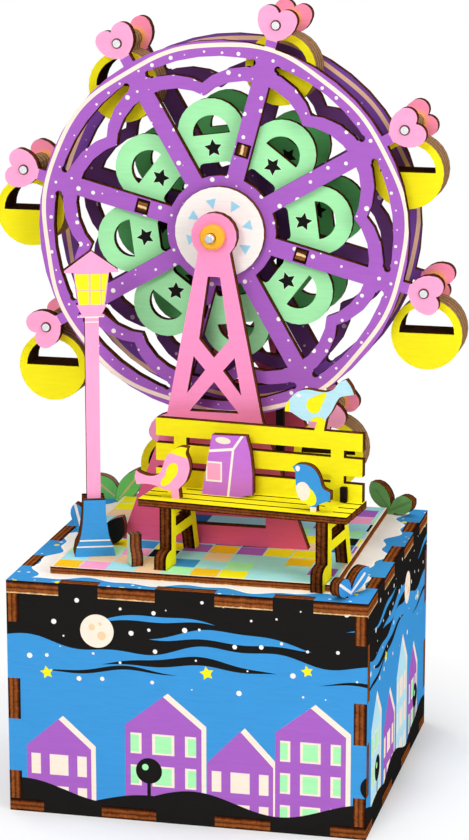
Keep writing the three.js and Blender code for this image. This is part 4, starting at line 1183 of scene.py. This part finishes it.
def stage():
    reach = 6.0
    floor_mesh = bpy.data.meshes.new("floor")
    floor_mesh.from_pydata(
        [(-reach, -reach, 0), (reach, -reach, 0), (reach, reach, 0), (-reach, reach, 0)],
        [], [(0, 1, 2, 3)])
    floor = bpy.data.objects.new("floor", floor_mesh)
    bpy.context.scene.collection.objects.link(floor)
    floor_mesh.materials.append(floor_material())


def floor_material():
    """Pale and matt round the object, and plain white to the eye further off."""
    pale_to = 54
    fade = 58
    paint = Paint("floor_pale", 0.9, specular=0.0)
    paint.shader.inputs["Base Color"].default_value = (0.93, 0.93, 0.93, 1)
    far = ((paint.x.length(paint.y) - pale_to) / fade).clamped()
    seen = rays_that_see(paint.tree)
    cast_reach = paint.tree.nodes.new("ShaderNodeEmission")
    blend = paint.tree.nodes.new("ShaderNodeMixShader")
    output = paint.tree.nodes["Material Output"]
    paint.tree.links.new((far * seen).socket, blend.inputs[0])
    paint.tree.links.new(paint.shader.outputs[0], blend.inputs[1])
    paint.tree.links.new(cast_reach.outputs[0], blend.inputs[2])
    paint.tree.links.new(blend.outputs[0], output.inputs[0])
    return paint.material


def world():
    """White to the eye, and a dim even light on the object."""
    scene_world = bpy.data.worlds.new("studio")
    bpy.context.scene.world = scene_world
    scene_world.use_nodes = True
    tree = scene_world.node_tree
    tree.nodes.clear()
    strength = rays_that_see(tree) * (1.0 - AMBIENT) + AMBIENT
    background = tree.nodes.new("ShaderNodeBackground")
    background.inputs["Color"].default_value = (1, 1, 1, 1)
    tree.links.new(strength.socket, background.inputs["Strength"])
    output = tree.nodes.new("ShaderNodeOutputWorld")
    tree.links.new(background.outputs[0], output.inputs[0])


def softbox(name, at, size, power):
    """A square lamp that points at the object, with its power in watts."""
    aim = Vector((0, 0, 0.1))
    light = bpy.data.lights.new(name, "AREA")
    light.size = size
    light.energy = power
    lamp = bpy.data.objects.new(name, light)
    lamp.location = at
    lamp.rotation_euler = (aim - Vector(at)).to_track_quat("-Z", "Y").to_euler()
    bpy.context.scene.collection.objects.link(lamp)


def camera():
    """The camera of the photograph, solved from the edges of the box."""
    lens = bpy.data.cameras.new("photo_camera")
    lens.lens = 119.1
    lens.sensor_width = 36
    lens.clip_start = 0.01
    lens.clip_end = 20
    eye = bpy.data.objects.new("photo_camera", lens)
    eye.location = (0.1723, -0.7378, 0.2766)
    eye.rotation_euler = (math.radians(90 - 13.3), 0, math.radians(13.07))
    bpy.context.scene.collection.objects.link(eye)
    bpy.context.scene.camera = eye


stage()
world()
softbox("key_front", (-0.15, -1.05, 0.6), 0.4, 5.0)
softbox("key_right", (0.85, -0.55, 0.5), 0.5, 4.5)
softbox("top", (0.0, -0.1, 1.1), 0.6, 4.7)
softbox("rear_left", (-0.75, 0.7, 0.45), 0.5, 3.2)
softbox("rear_right", (0.35, 1.0, 0.6), 0.5, 3.2)
camera()
bpy.context.scene.view_settings.view_transform = "Standard"
